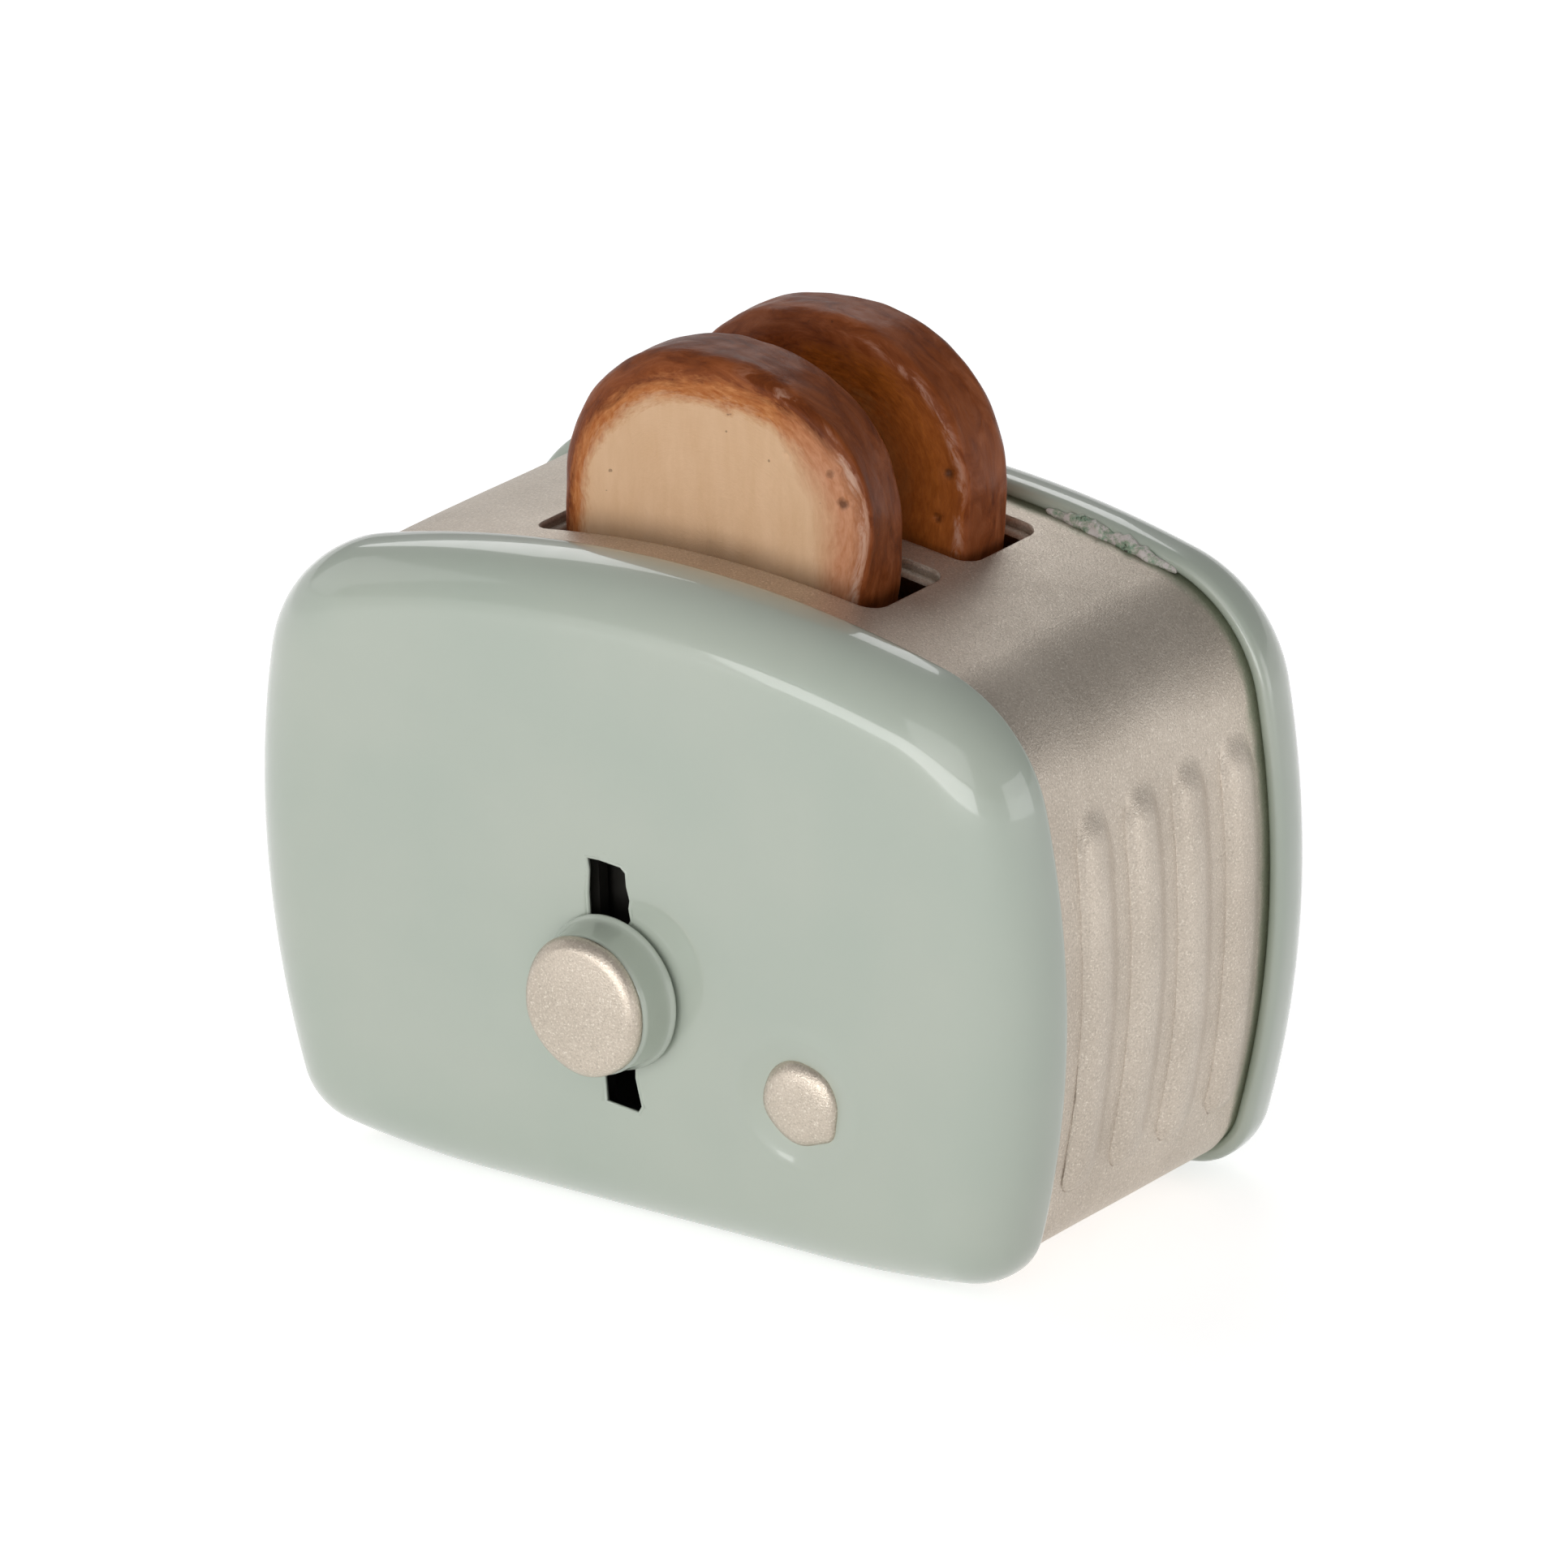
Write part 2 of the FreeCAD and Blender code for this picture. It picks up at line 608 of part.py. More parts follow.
def knob_cap():
    """The metal disc on the knob: a flat back, a full round edge and a low crown."""
    back = -KNOB_GAP - KNOB_HEIGHT
    disc = rod(0, back, 0, KNOB_CAP_RADIUS, Vec(0, -1, 0), KNOB_CAP_HEIGHT)
    front = back - KNOB_CAP_HEIGHT
    rim = [edge for edge in disc.Edges
           if all(abs(point.y - front) < TOUCH for point in edge.discretize(3))]
    return at_lever(disc.makeFillet(KNOB_CAP_ROUND, rim))


def carriage():
    """A bent sheet: an upright behind the cover, a yoke for each post, and the rack."""
    upright = block((-CARRIAGE_HALF_WIDTH, CARRIAGE_FRONT, -CARRIAGE_TAIL),
                    (CARRIAGE_HALF_WIDTH, CARRIAGE_BACK, REACH))
    yoke_reach = POST_OFFSET + BUSH_RADIUS + YOKE_MARGIN
    yoke_back = POST_DEPTH + BUSH_RADIUS + YOKE_MARGIN
    inner = CARRIAGE_HALF_WIDTH - YOKE_SHEET
    yokes = [block((inner, CARRIAGE_FRONT, -YOKE_SHEET / 2), (yoke_reach, yoke_back, YOKE_SHEET / 2)),
             block((-yoke_reach, CARRIAGE_FRONT, -YOKE_SHEET / 2), (-inner, yoke_back, YOKE_SHEET / 2))]
    lever_part = upright.fuse(yokes)
    for side in (-1, 1):
        lever_part = lever_part.cut(post_rod(side, BUSH_RADIUS))
    lever_part = lever_part.cut(stem_bar(0, REACH))
    lever_part = lever_part.cut(rod(SPRING_X, 0, spring_rivet_height(),
                                    SPRING_RIVET_RADIUS, Y_AXIS, 2 * CARRIAGE_BACK))
    below_rack_top = block((-REACH, -REACH, -REACH), (REACH, REACH, RACK_TOP))
    sheet = at_lever(lever_part).common(below_rack_top)
    rack = block((LEVER_X - CARRIAGE_HALF_WIDTH, -REACH / 2, RACK_BOTTOM),
                 (LEVER_X + CARRIAGE_HALF_WIDTH, REAR_SLICE_Y + TRAY_HALF_WIDTH, RACK_TOP))
    rack = rack.common(slab(FRONT, CARRIAGE_FRONT, REACH))
    sheet = sheet.fuse(rack).removeSplitter()
    for hole in rivet_shanks():
        sheet = sheet.cut(hole)
    return sheet


def bush(side):
    """A sleeve that runs on a post, held in the carriage's yoke."""
    sleeve = rod(side * POST_OFFSET, POST_DEPTH, -BUSH_LENGTH / 2, BUSH_RADIUS, Z_AXIS, BUSH_LENGTH)
    return at_lever(sleeve.cut(post_rod(side, POST_RADIUS + BUSH_CLEARANCE)))


def tray(middle_y):
    """A shallow channel that holds the foot of a slice."""
    low_x = LEVER_X - TRAY_LENGTH / 2
    high_x = LEVER_X + TRAY_LENGTH / 2
    channel = block((low_x, middle_y - TRAY_HALF_WIDTH, RACK_TOP),
                    (high_x, middle_y + TRAY_HALF_WIDTH, SLICE_REST_HEIGHT + TRAY_LIP))
    inner = TRAY_HALF_WIDTH - TRAY_SHEET
    hollow = block((low_x, middle_y - inner, SLICE_REST_HEIGHT),
                   (high_x, middle_y + inner, SLICE_REST_HEIGHT + TRAY_LIP))
    channel = channel.cut(hollow)
    for shank in rivet_shanks():
        channel = channel.cut(shank)
    return channel


def rivet_places():
    return [(LEVER_X + side * TRAY_RIVET_SPACING / 2, y)
            for y in (FRONT_SLICE_Y, REAR_SLICE_Y) for side in (-1, 1)]


def rivet_shanks():
    height = SLICE_REST_HEIGHT - RACK_BOTTOM
    return [rod(x, y, RACK_BOTTOM, TRAY_RIVET_RADIUS, Z_AXIS, height) for x, y in rivet_places()]


def tray_rivets():
    """Rivets that hold the trays on the rack, flush above and headed below."""
    rivets = []
    for shank, (x, y) in zip(rivet_shanks(), rivet_places()):
        head = rod(x, y, RACK_BOTTOM - TRAY_RIVET_HEAD, TRAY_RIVET_HEAD_RADIUS, Z_AXIS, TRAY_RIVET_HEAD)
        rivets.append(shank.fuse(head).removeSplitter())
    return Part.makeCompound(rivets)


def spring_rivet_height():
    return SPRING_HALF_LENGTH + SPRING_PAD / 2


def friction_spring():
    """A bowed leaf on the carriage whose crown rubs on the guide bracket."""
    back = CARRIAGE_FRONT
    front = back - SPRING_SHEET
    crown = BRACKET_BACK + SPRING_RUBBING_GAP
    half = SPRING_HALF_LENGTH
    end = half + SPRING_PAD
    x = SPRING_X - SPRING_WIDTH / 2
    outer = Part.Arc(Vec(x, front, -half), Vec(x, crown, 0), Vec(x, front, half)).toShape()
    inner = Part.Arc(Vec(x, back, half), Vec(x, crown + SPRING_SHEET, 0), Vec(x, back, -half)).toShape()
    corners = [Vec(x, front, half), Vec(x, front, end), Vec(x, back, end), Vec(x, back, half)]
    upper = [Part.LineSegment(a, b).toShape() for a, b in zip(corners, corners[1:])]
    corners = [Vec(x, back, -half), Vec(x, back, -end), Vec(x, front, -end), Vec(x, front, -half)]
    lower = [Part.LineSegment(a, b).toShape() for a, b in zip(corners, corners[1:])]
    leaf = Part.Face(Part.Wire([outer] + upper + [inner] + lower)).extrude(Vec(SPRING_WIDTH, 0, 0))
    hole = rod(SPRING_X, 0, spring_rivet_height(), SPRING_RIVET_RADIUS, Y_AXIS, 2 * back)
    return at_lever(leaf.cut(hole))


def spring_rivet():
    """The rivet through the leaf's upper pad and the carriage."""
    z = spring_rivet_height()
    front = CARRIAGE_FRONT - SPRING_SHEET
    shank = rod(SPRING_X, front, z, SPRING_RIVET_RADIUS, Y_AXIS, CARRIAGE_BACK - front)
    heads = [rod(SPRING_X, front - SPRING_RIVET_HEAD, z, SPRING_RIVET_HEAD_RADIUS,
                 Y_AXIS, SPRING_RIVET_HEAD),
             rod(SPRING_X, CARRIAGE_BACK, z, SPRING_RIVET_HEAD_RADIUS, Y_AXIS, SPRING_RIVET_HEAD)]
    return at_lever(shank.fuse(heads).removeSplitter())


# Bread

def slice_of_bread(middle_x, middle_y):
    """A slice standing in its tray, with softened crust edges."""
    face = barrel_face(SLICE_SIZE, 0)
    face.translate(Vec(0, -SLICE_THICKNESS / 2, 0))
    loaf = face.extrude(Vec(0, SLICE_THICKNESS, 0))
    rims = [edge for edge in loaf.Edges
            if abs(abs(edge.BoundBox.Center.y) - SLICE_THICKNESS / 2) < TOUCH]
    loaf = loaf.makeFillet(SLICE_EDGE_ROUND, rims)
    loaf.translate(Vec(middle_x, middle_y, SLICE_REST_HEIGHT))
    return loaf


def all_parts():
    return {
        "front_cover": front_cover(),
        "back_cover": back_cover(),
        "body_shell": body_shell(),
        "base_plate": base_plate(),
        "front_solder": solder_tacks(FRONT),
        "rear_solder": solder_tacks(BACK),
        "guide_bracket": guide_bracket(),
        "left_post": post(-1),
        "right_post": post(1),
        "post_clips": post_clips(),
        "button": button(),
        "button_clip": button_clip(),
        "carriage": carriage(),
        "left_bush": bush(-1),
        "right_bush": bush(1),
        "front_tray": tray(FRONT_SLICE_Y),
        "rear_tray": tray(REAR_SLICE_Y),
        "tray_rivets": tray_rivets(),
        "friction_spring": friction_spring(),
        "spring_rivet": spring_rivet(),
        "lever_stem": lever_stem(),
        "lever_knob": lever_knob(),
        "knob_cap": knob_cap(),
        "front_slice": slice_of_bread(FRONT_SLICE_X, FRONT_SLICE_Y),
        "rear_slice": slice_of_bread(REAR_SLICE_X, REAR_SLICE_Y),
    }


def main():
    parts = all_parts()
    # The origin is the middle of the footprint, with the knob counted in.
    whole = Part.makeCompound(list(parts.values())).optimalBoundingBox(False)
    shift = Vec(-(whole.XMin + whole.XMax) / 2, -(whole.YMin + whole.YMax) / 2, 0)
    os.makedirs("parts", exist_ok=True)
    for name, shape in parts.items():
        shape.translate(shift)
        shape.exportStep(os.path.join("parts", name + ".step"))
        print(name, "solids", len(shape.Solids), "volume %.2f" % shape.Volume,
              "valid", shape.isValid())
    print("shift", shift)
    print("slide axis", FRONT.Rotation.multVec(Z_AXIS))
    print("size", whole.XLength, whole.YLength, whole.ZLength, "lowest", whole.ZMin)


main()
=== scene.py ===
import math

import bpy
import numpy as np
from mathutils import Matrix, Vector, noise


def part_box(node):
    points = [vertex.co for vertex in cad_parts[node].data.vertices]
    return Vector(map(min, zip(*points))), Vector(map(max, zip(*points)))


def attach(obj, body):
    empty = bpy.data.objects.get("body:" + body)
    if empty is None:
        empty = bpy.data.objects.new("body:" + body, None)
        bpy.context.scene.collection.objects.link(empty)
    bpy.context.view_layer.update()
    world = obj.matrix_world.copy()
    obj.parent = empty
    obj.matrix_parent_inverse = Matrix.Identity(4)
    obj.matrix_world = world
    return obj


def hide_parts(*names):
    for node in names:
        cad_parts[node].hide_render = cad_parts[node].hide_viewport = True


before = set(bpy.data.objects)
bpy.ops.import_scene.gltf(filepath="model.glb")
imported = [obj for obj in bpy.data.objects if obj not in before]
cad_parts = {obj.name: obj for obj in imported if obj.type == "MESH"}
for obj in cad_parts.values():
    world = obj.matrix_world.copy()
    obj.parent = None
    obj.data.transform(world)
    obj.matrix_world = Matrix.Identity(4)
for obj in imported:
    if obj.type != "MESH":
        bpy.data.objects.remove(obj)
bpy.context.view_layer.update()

# All shapes are drawn in millimetres about the middle of the covers and scaled to metres.
MM = 0.001

COVER = {
    "half_width": 26.0, "height": 38.4, "widest": 18.6, "side": 55.5, "top": 72.6,
    "bottom": 62.0, "top_corner": 8.9, "bottom_corner": 4.3, "foot": 11.0,
}
COVER_SPACING = 30.3
COVER_DEPTH = 4.9
COVER_WALL = 1.0
FACE_ROUND = 4.0
FRONT_LEAN = math.tan(math.radians(3.1))
BODY_INSET = 1.33
BODY_SHEET = 0.6
COVER_OVERLAP = 1.0
ORIGIN_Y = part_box("back_cover")[1].y / MM - COVER_SPACING / 2

OVERSPRAY_FROM = 9.0
CHIP = (16.9, ORIGIN_Y - 10.4, 36.35)

LEVER_X = -0.6
LEVER_Z = 14.3
BUTTON_X = 11.3
BUTTON_Z = 10.3

SLICE = {
    "half_width": 9.8, "height": 21.0, "widest": 12.5, "side": 38.0, "top": 13.5,
    "bottom": 60.0, "top_corner": 8.6, "bottom_corner": 2.5, "foot": 4.0,
}
SLICE_THICKNESS = 4.5
SLICE_FINENESS = 60
FLARE_HEIGHT = 15.0
FLARE_SPREAD = 4.2


# Outlines

def crossing(centre_a, reach_a, centre_b, reach_b):
    """The right-hand point at given distances from two centres."""
    apart = centre_b - centre_a
    length = np.hypot(*apart)
    along = (reach_a**2 - reach_b**2 + length**2) / (2 * length)
    across = math.sqrt(reach_a**2 - along**2)
    unit = apart / length
    side = np.array([unit[1], -unit[0]])
    points = [centre_a + unit * along + side * across, centre_a + unit * along - side * across]
    return max(points, key=lambda point: point[0])


def arc_points(centre, radius, start, end, count):
    """Points along an arc, without the last one."""
    first = math.atan2(*(start - centre)[::-1])
    last = math.atan2(*(end - centre)[::-1])
    turn = (last - first + math.pi) % (2 * math.pi) - math.pi
    angles = first + turn * np.arange(count) / count
    return centre + radius * np.stack([np.cos(angles), np.sin(angles)], 1)


def barrel_outline(size, inset, fineness):
    """The soft-cornered outline with bulging sides, as (x, z) points from the foot's left end."""
    top_centre = np.array([0.0, size["height"] - size["top"]])
    side_centre = np.array([size["half_width"] - size["side"], size["widest"]])
    low_centre = np.array([size["foot"], size["bottom"]])
    upper = crossing(top_centre, size["top"] - size["top_corner"],
                     side_centre, size["side"] - size["top_corner"])
    lower = crossing(low_centre, size["bottom"] - size["bottom_corner"],
                     side_centre, size["side"] - size["bottom_corner"])

    def towards(centre, target, radius):
        return centre + (target - centre) / np.hypot(*(target - centre)) * (radius - inset)

    foot = np.array([size["foot"], inset])
    low_end = towards(low_centre, lower, size["bottom"])
    side_low = towards(side_centre, lower, size["side"])
    side_high = towards(side_centre, upper, size["side"])
    top_end = towards(top_centre, upper, size["top"])
    flip = np.array([-1.0, 1.0])
    counts = [max(3, round(fineness * share)) for share in (0.9, 0.5, 0.6, 1.0, 0.8, 2.4)]
    line = np.linspace(foot * flip, foot, counts[0], endpoint=False)
    right = [
        (low_centre, size["bottom"] - inset, foot, low_end, counts[1]),
        (lower, size["bottom_corner"] - inset, low_end, side_low, counts[2]),
        (side_centre, size["side"] - inset, side_low, side_high, counts[3]),
        (upper, size["top_corner"] - inset, side_high, top_end, counts[4]),
    ]
    parts = [line] + [arc_points(*arc) for arc in right]
    parts.append(arc_points(top_centre, size["top"] - inset, top_end, top_end * flip, counts[5]))
    for centre, radius, start, end, count in reversed(right):
        parts.append(arc_points(centre * flip, radius, end * flip, start * flip, count))
    return np.concatenate(parts)


def outward_normals(loop):
    """Unit normals of a closed anticlockwise (x, z) loop."""
    tangent = np.roll(loop, -1, 0) - np.roll(loop, 1, 0)
    normal = np.stack([tangent[:, 1], -tangent[:, 0]], 1)
    return normal / np.linalg.norm(normal, axis=1)[:, None]


def front_face_y(z):
    return -COVER_SPACING / 2 - (z - COVER["height"] / 2) * FRONT_LEAN


def on_front(x, depth, up):
    """A point given from the knob's axis: across, inwards from the face, and up the face."""
    z = LEVER_Z + up
    return np.array([x, front_face_y(z) + depth, z])


# Mesh building

def new_piece(name, vertices, faces, material, body, smooth=True):
    """A mesh object from millimetre points, placed in the frame and riding on a body."""
    mesh = bpy.data.meshes.new(name)
    points = (np.asarray(vertices, float) + [0, ORIGIN_Y, 0]) * MM
    mesh.from_pydata(points.tolist(), [], faces)
    mesh.update()
    mesh.shade_smooth() if smooth else mesh.shade_flat()
    piece = bpy.data.objects.new(name, mesh)
    bpy.context.scene.collection.objects.link(piece)
    mesh.materials.append(material)
    if body:
        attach(piece, body)
    return piece


def loft(loops, closed_ring=False, cap_start=True, cap_end=True):
    """Vertices and quads through equal loops, with a fan over each open end."""
    count = len(loops[0])
    vertices = np.concatenate(loops).tolist()
    faces = []
    pairs = len(loops) if closed_ring else len(loops) - 1
    for row in range(pairs):
        low = row * count
        high = (row + 1) % len(loops) * count
        for index in range(count):
            after = (index + 1) % count
            faces.append((low + index, low + after, high + after, high + index))
    if not closed_ring:
        if cap_start:
            vertices.append(np.mean(loops[0], 0).tolist())
            hub = len(vertices) - 1
            faces += [(hub, (index + 1) % count, index) for index in range(count)]
        if cap_end:
            vertices.append(np.mean(loops[-1], 0).tolist())
            hub = len(vertices) - 1
            base = (len(loops) - 1) * count
            faces += [(hub, base + index, base + (index + 1) % count) for index in range(count)]
    return vertices, faces


def fix_normals(piece):
    """Turns every face outwards."""
    import bmesh
    work = bmesh.new()
    work.from_mesh(piece.data)
    bmesh.ops.recalc_face_normals(work, faces=work.faces)
    work.to_mesh(piece.data)
    work.free()
    piece.data.update()


def apply_modifiers(piece):
    """Replaces a piece's mesh by what its modifiers make of it."""
    graph = bpy.context.evaluated_depsgraph_get()
    graph.update()
    mesh = bpy.data.meshes.new_from_object(piece.evaluated_get(graph))
    piece.modifiers.clear()
    piece.data = mesh


def cut(piece, cutter):
    """Takes a closed mesh out of a piece and deletes the cutter."""
    fix_normals(cutter)
    modifier = piece.modifiers.new("cut", "BOOLEAN")
    modifier.operation = "DIFFERENCE"
    modifier.solver = "EXACT"
    modifier.object = cutter
    apply_modifiers(piece)
    bpy.data.objects.remove(cutter)


def wobble(x, y, z, scale, strength, seed):
    """Smooth repeatable unevenness, in millimetres."""
    return strength * noise.noise(Vector((x / scale + seed, y / scale, z / scale)))


# Materials

def srgb(red, green, blue):
    """A colour written as 0-255 screen values, as linear light."""
    def linear(value):
        value /= 255
        return value / 12.92 if value <= 0.04045 else ((value + 0.055) / 1.055) ** 2.4
    return (linear(red), linear(green), linear(blue), 1.0)


class Nodes:
    """Short helpers for one material's node tree."""

    def __init__(self, name):
        self.material = bpy.data.materials.new(name)
        self.material.use_nodes = True
        self.tree = self.material.node_tree
        self.shader = self.tree.nodes["Principled BSDF"]
        coordinates = self.tree.nodes.new("ShaderNodeTexCoord")
        scaled = self.tree.nodes.new("ShaderNodeMapping")
        scaled.inputs["Scale"].default_value = (1 / MM, 1 / MM, 1 / MM)
        self.link(coordinates.outputs["Object"], scaled.inputs["Vector"])
        self.place = scaled.outputs["Vector"]

    def link(self, source, target):
        self.tree.links.new(source, target)

    def stretched(self, scale):
        """The place in millimetres, squeezed along the axes."""
        node = self.tree.nodes.new("ShaderNodeMapping")
        node.inputs["Scale"].default_value = scale
        self.link(self.place, node.inputs["Vector"])
        return node.outputs["Vector"]

    def noise(self, scale, detail=3.0, roughness=0.55, vector=None, distortion=0.0):
        node = self.tree.nodes.new("ShaderNodeTexNoise")
        node.inputs["Scale"].default_value = scale
        node.inputs["Detail"].default_value = detail
        node.inputs["Roughness"].default_value = roughness
        node.inputs["Distortion"].default_value = distortion
        self.link(vector or self.place, node.inputs["Vector"])
        return node.outputs["Fac"]

    def ramp(self, factor, stops):
        """A colour ramp through (place, colour) stops. A plain number is a grey."""
        node = self.tree.nodes.new("ShaderNodeValToRGB")
        elements = node.color_ramp.elements
        while len(elements) < len(stops):
            elements.new(0.5)
        for element, (place, colour) in zip(elements, stops):
            element.position = place
            grey = isinstance(colour, (int, float))
            element.color = (colour, colour, colour, 1.0) if grey else colour
        self.link(factor, node.inputs["Fac"])
        return node.outputs["Color"]

    def math(self, operation, first, second):
        node = self.tree.nodes.new("ShaderNodeMath")
        node.operation = operation
        for socket, value in zip(node.inputs, (first, second)):
            if isinstance(value, (int, float)):
                socket.default_value = value
            else:
                self.link(value, socket)
        return node.outputs["Value"]

    def mix(self, factor, first, second, blend="MIX"):
        node = self.tree.nodes.new("ShaderNodeMix")
        node.data_type = "RGBA"
        node.blend_type = blend
        for name, value in (("Factor_Float", factor), ("A_Color", first), ("B_Color", second)):
            socket = next(item for item in node.inputs if item.identifier == name)
            if isinstance(value, (int, float, tuple)):
                socket.default_value = value
            else:
                self.link(value, socket)
        return next(item for item in node.outputs if item.identifier == "Result_Color")

    def combine(self, x, y, z):
        node = self.tree.nodes.new("ShaderNodeCombineXYZ")
        for socket, value in zip(node.inputs, (x, y, z)):
            self.link(value, socket)
        return node.outputs["Vector"]

    def separate(self):
        node = self.tree.nodes.new("ShaderNodeSeparateXYZ")
        self.link(self.place, node.inputs["Vector"])
        return node.outputs

    def depth(self):
        """The place from front to back, in millimetres."""
        return self.separate()["Y"]

    def near(self, point, core, reach):
        """1 within a ragged spot about a point in millimetres, and 0 beyond it."""
        node = self.tree.nodes.new("ShaderNodeVectorMath")
        node.operation = "DISTANCE"
        self.link(self.place, node.inputs[0])
        node.inputs[1].default_value = point
        away = self.math("ADD", node.outputs["Value"],
                         self.math("MULTIPLY", self.math("SUBTRACT", self.noise(2.4), 0.5), 0.5))
        return self.ramp(away, [(core, 1.0), (reach, 0.0)])

    def attribute(self, name):
        node = self.tree.nodes.new("ShaderNodeAttribute")
        node.attribute_name = name
        return node.outputs["Fac"]

    def bump(self, height, strength, distance, normal=None):
        node = self.tree.nodes.new("ShaderNodeBump")
        node.inputs["Strength"].default_value = strength
        node.inputs["Distance"].default_value = distance * MM
        self.link(height, node.inputs["Height"])
        if normal:
            self.link(normal, node.inputs["Normal"])
        return node.outputs["Normal"]

    def set(self, **values):
        """Sets the shader's own sockets, by name with underscores for spaces."""
        for name, value in values.items():
            socket = self.shader.inputs[name.replace("_", " ")]
            if isinstance(value, (int, float, tuple)):
                socket.default_value = value
            else:
                self.link(value, socket)
        return self.material


def enamel():
    """Glossy sage-green stove enamel with a faint orange peel."""
    n = Nodes("sage_enamel")
    patches = n.noise(0.09, 2.0)
    tone = n.ramp(patches, [(0.35, srgb(180, 190, 177)), (0.65, srgb(185, 193, 180))])
    specks = n.ramp(n.noise(1.6, 4.0, 0.7), [(0.72, 0.0), (0.78, 1.0)])
    tone = n.mix(n.math("MULTIPLY", specks, 0.14), tone, srgb(140, 150, 136))
    peel = n.bump(n.noise(0.7, 2.0), 0.25, 0.02)
    peel = n.bump(n.noise(0.22, 1.0), 0.35, 0.08, peel)
    chip = n.near(CHIP, 0.16, 0.34)
    tone = n.mix(chip, tone, srgb(70, 66, 58))
    peel = n.bump(chip, -0.8, 0.2, peel)
    rough = n.ramp(n.noise(0.5, 3.0), [(0.3, 0.30), (0.7, 0.38)])
    return n.set(Base_Color=tone, Roughness=rough, Normal=peel, Coat_Weight=0.8,
                 Coat_Roughness=0.05, IOR=1.5)


def silver_paint(name, light, dark, polish=0.0, tint_from=None):
    """Warm metallic paint with a fine sparkling grain, and green overspray past a depth."""
    n = Nodes(name)
    grain = n.noise(8.0, 2.0, 0.8)
    clouds = n.noise(0.16, 3.0)
    tone = n.ramp(clouds, [(0.3, dark), (0.7, light)])
    low = n.mix(0.30, tone, srgb(92, 84, 72))
    high = n.mix(0.60, tone, srgb(255, 248, 236))
    tone = n.mix(n.ramp(grain, [(0.30, 1.0), (0.46, 0.0)]), tone, low)
    tone = n.mix(n.ramp(grain, [(0.56, 0.0), (0.72, 1.0)]), tone, high)
    if tint_from is not None:
        reach = n.math("SUBTRACT", n.depth(), tint_from)
        reach = n.math("ADD", reach, n.math("MULTIPLY", n.math("SUBTRACT", n.noise(0.6, 3.0), 0.5), 1.6))
        tone = n.mix(n.ramp(reach, [(0.0, 0.0), (1.0, 0.62)]), tone, srgb(122, 140, 112))
    rough = n.ramp(n.noise(5.0, 2.0), [(0.3, 0.38 - polish), (0.7, 0.52 - polish)])
    relief = n.bump(grain, 0.7, 0.04)
    relief = n.bump(n.noise(0.5, 3.0), 0.4, 0.07, relief)
    return n.set(Base_Color=tone, Metallic=0.7, Roughness=rough, Normal=relief)


def bare_metal(name, colour, roughness, stretch):
    """Plain metal with drawn streaks."""
    n = Nodes(name)
    streaks = n.noise(2.0, 4.0, 0.6, n.stretched(stretch))
    low = tuple(channel * 0.86 for channel in colour[:3]) + (1.0,)
    tone = n.ramp(streaks, [(0.3, low), (0.7, colour)])
    rough = n.ramp(streaks, [(0.3, roughness), (0.7, roughness + 0.12)])
    return n.set(Base_Color=tone, Metallic=1.0, Roughness=rough,
                 Normal=n.bump(streaks, 0.3, 0.02))


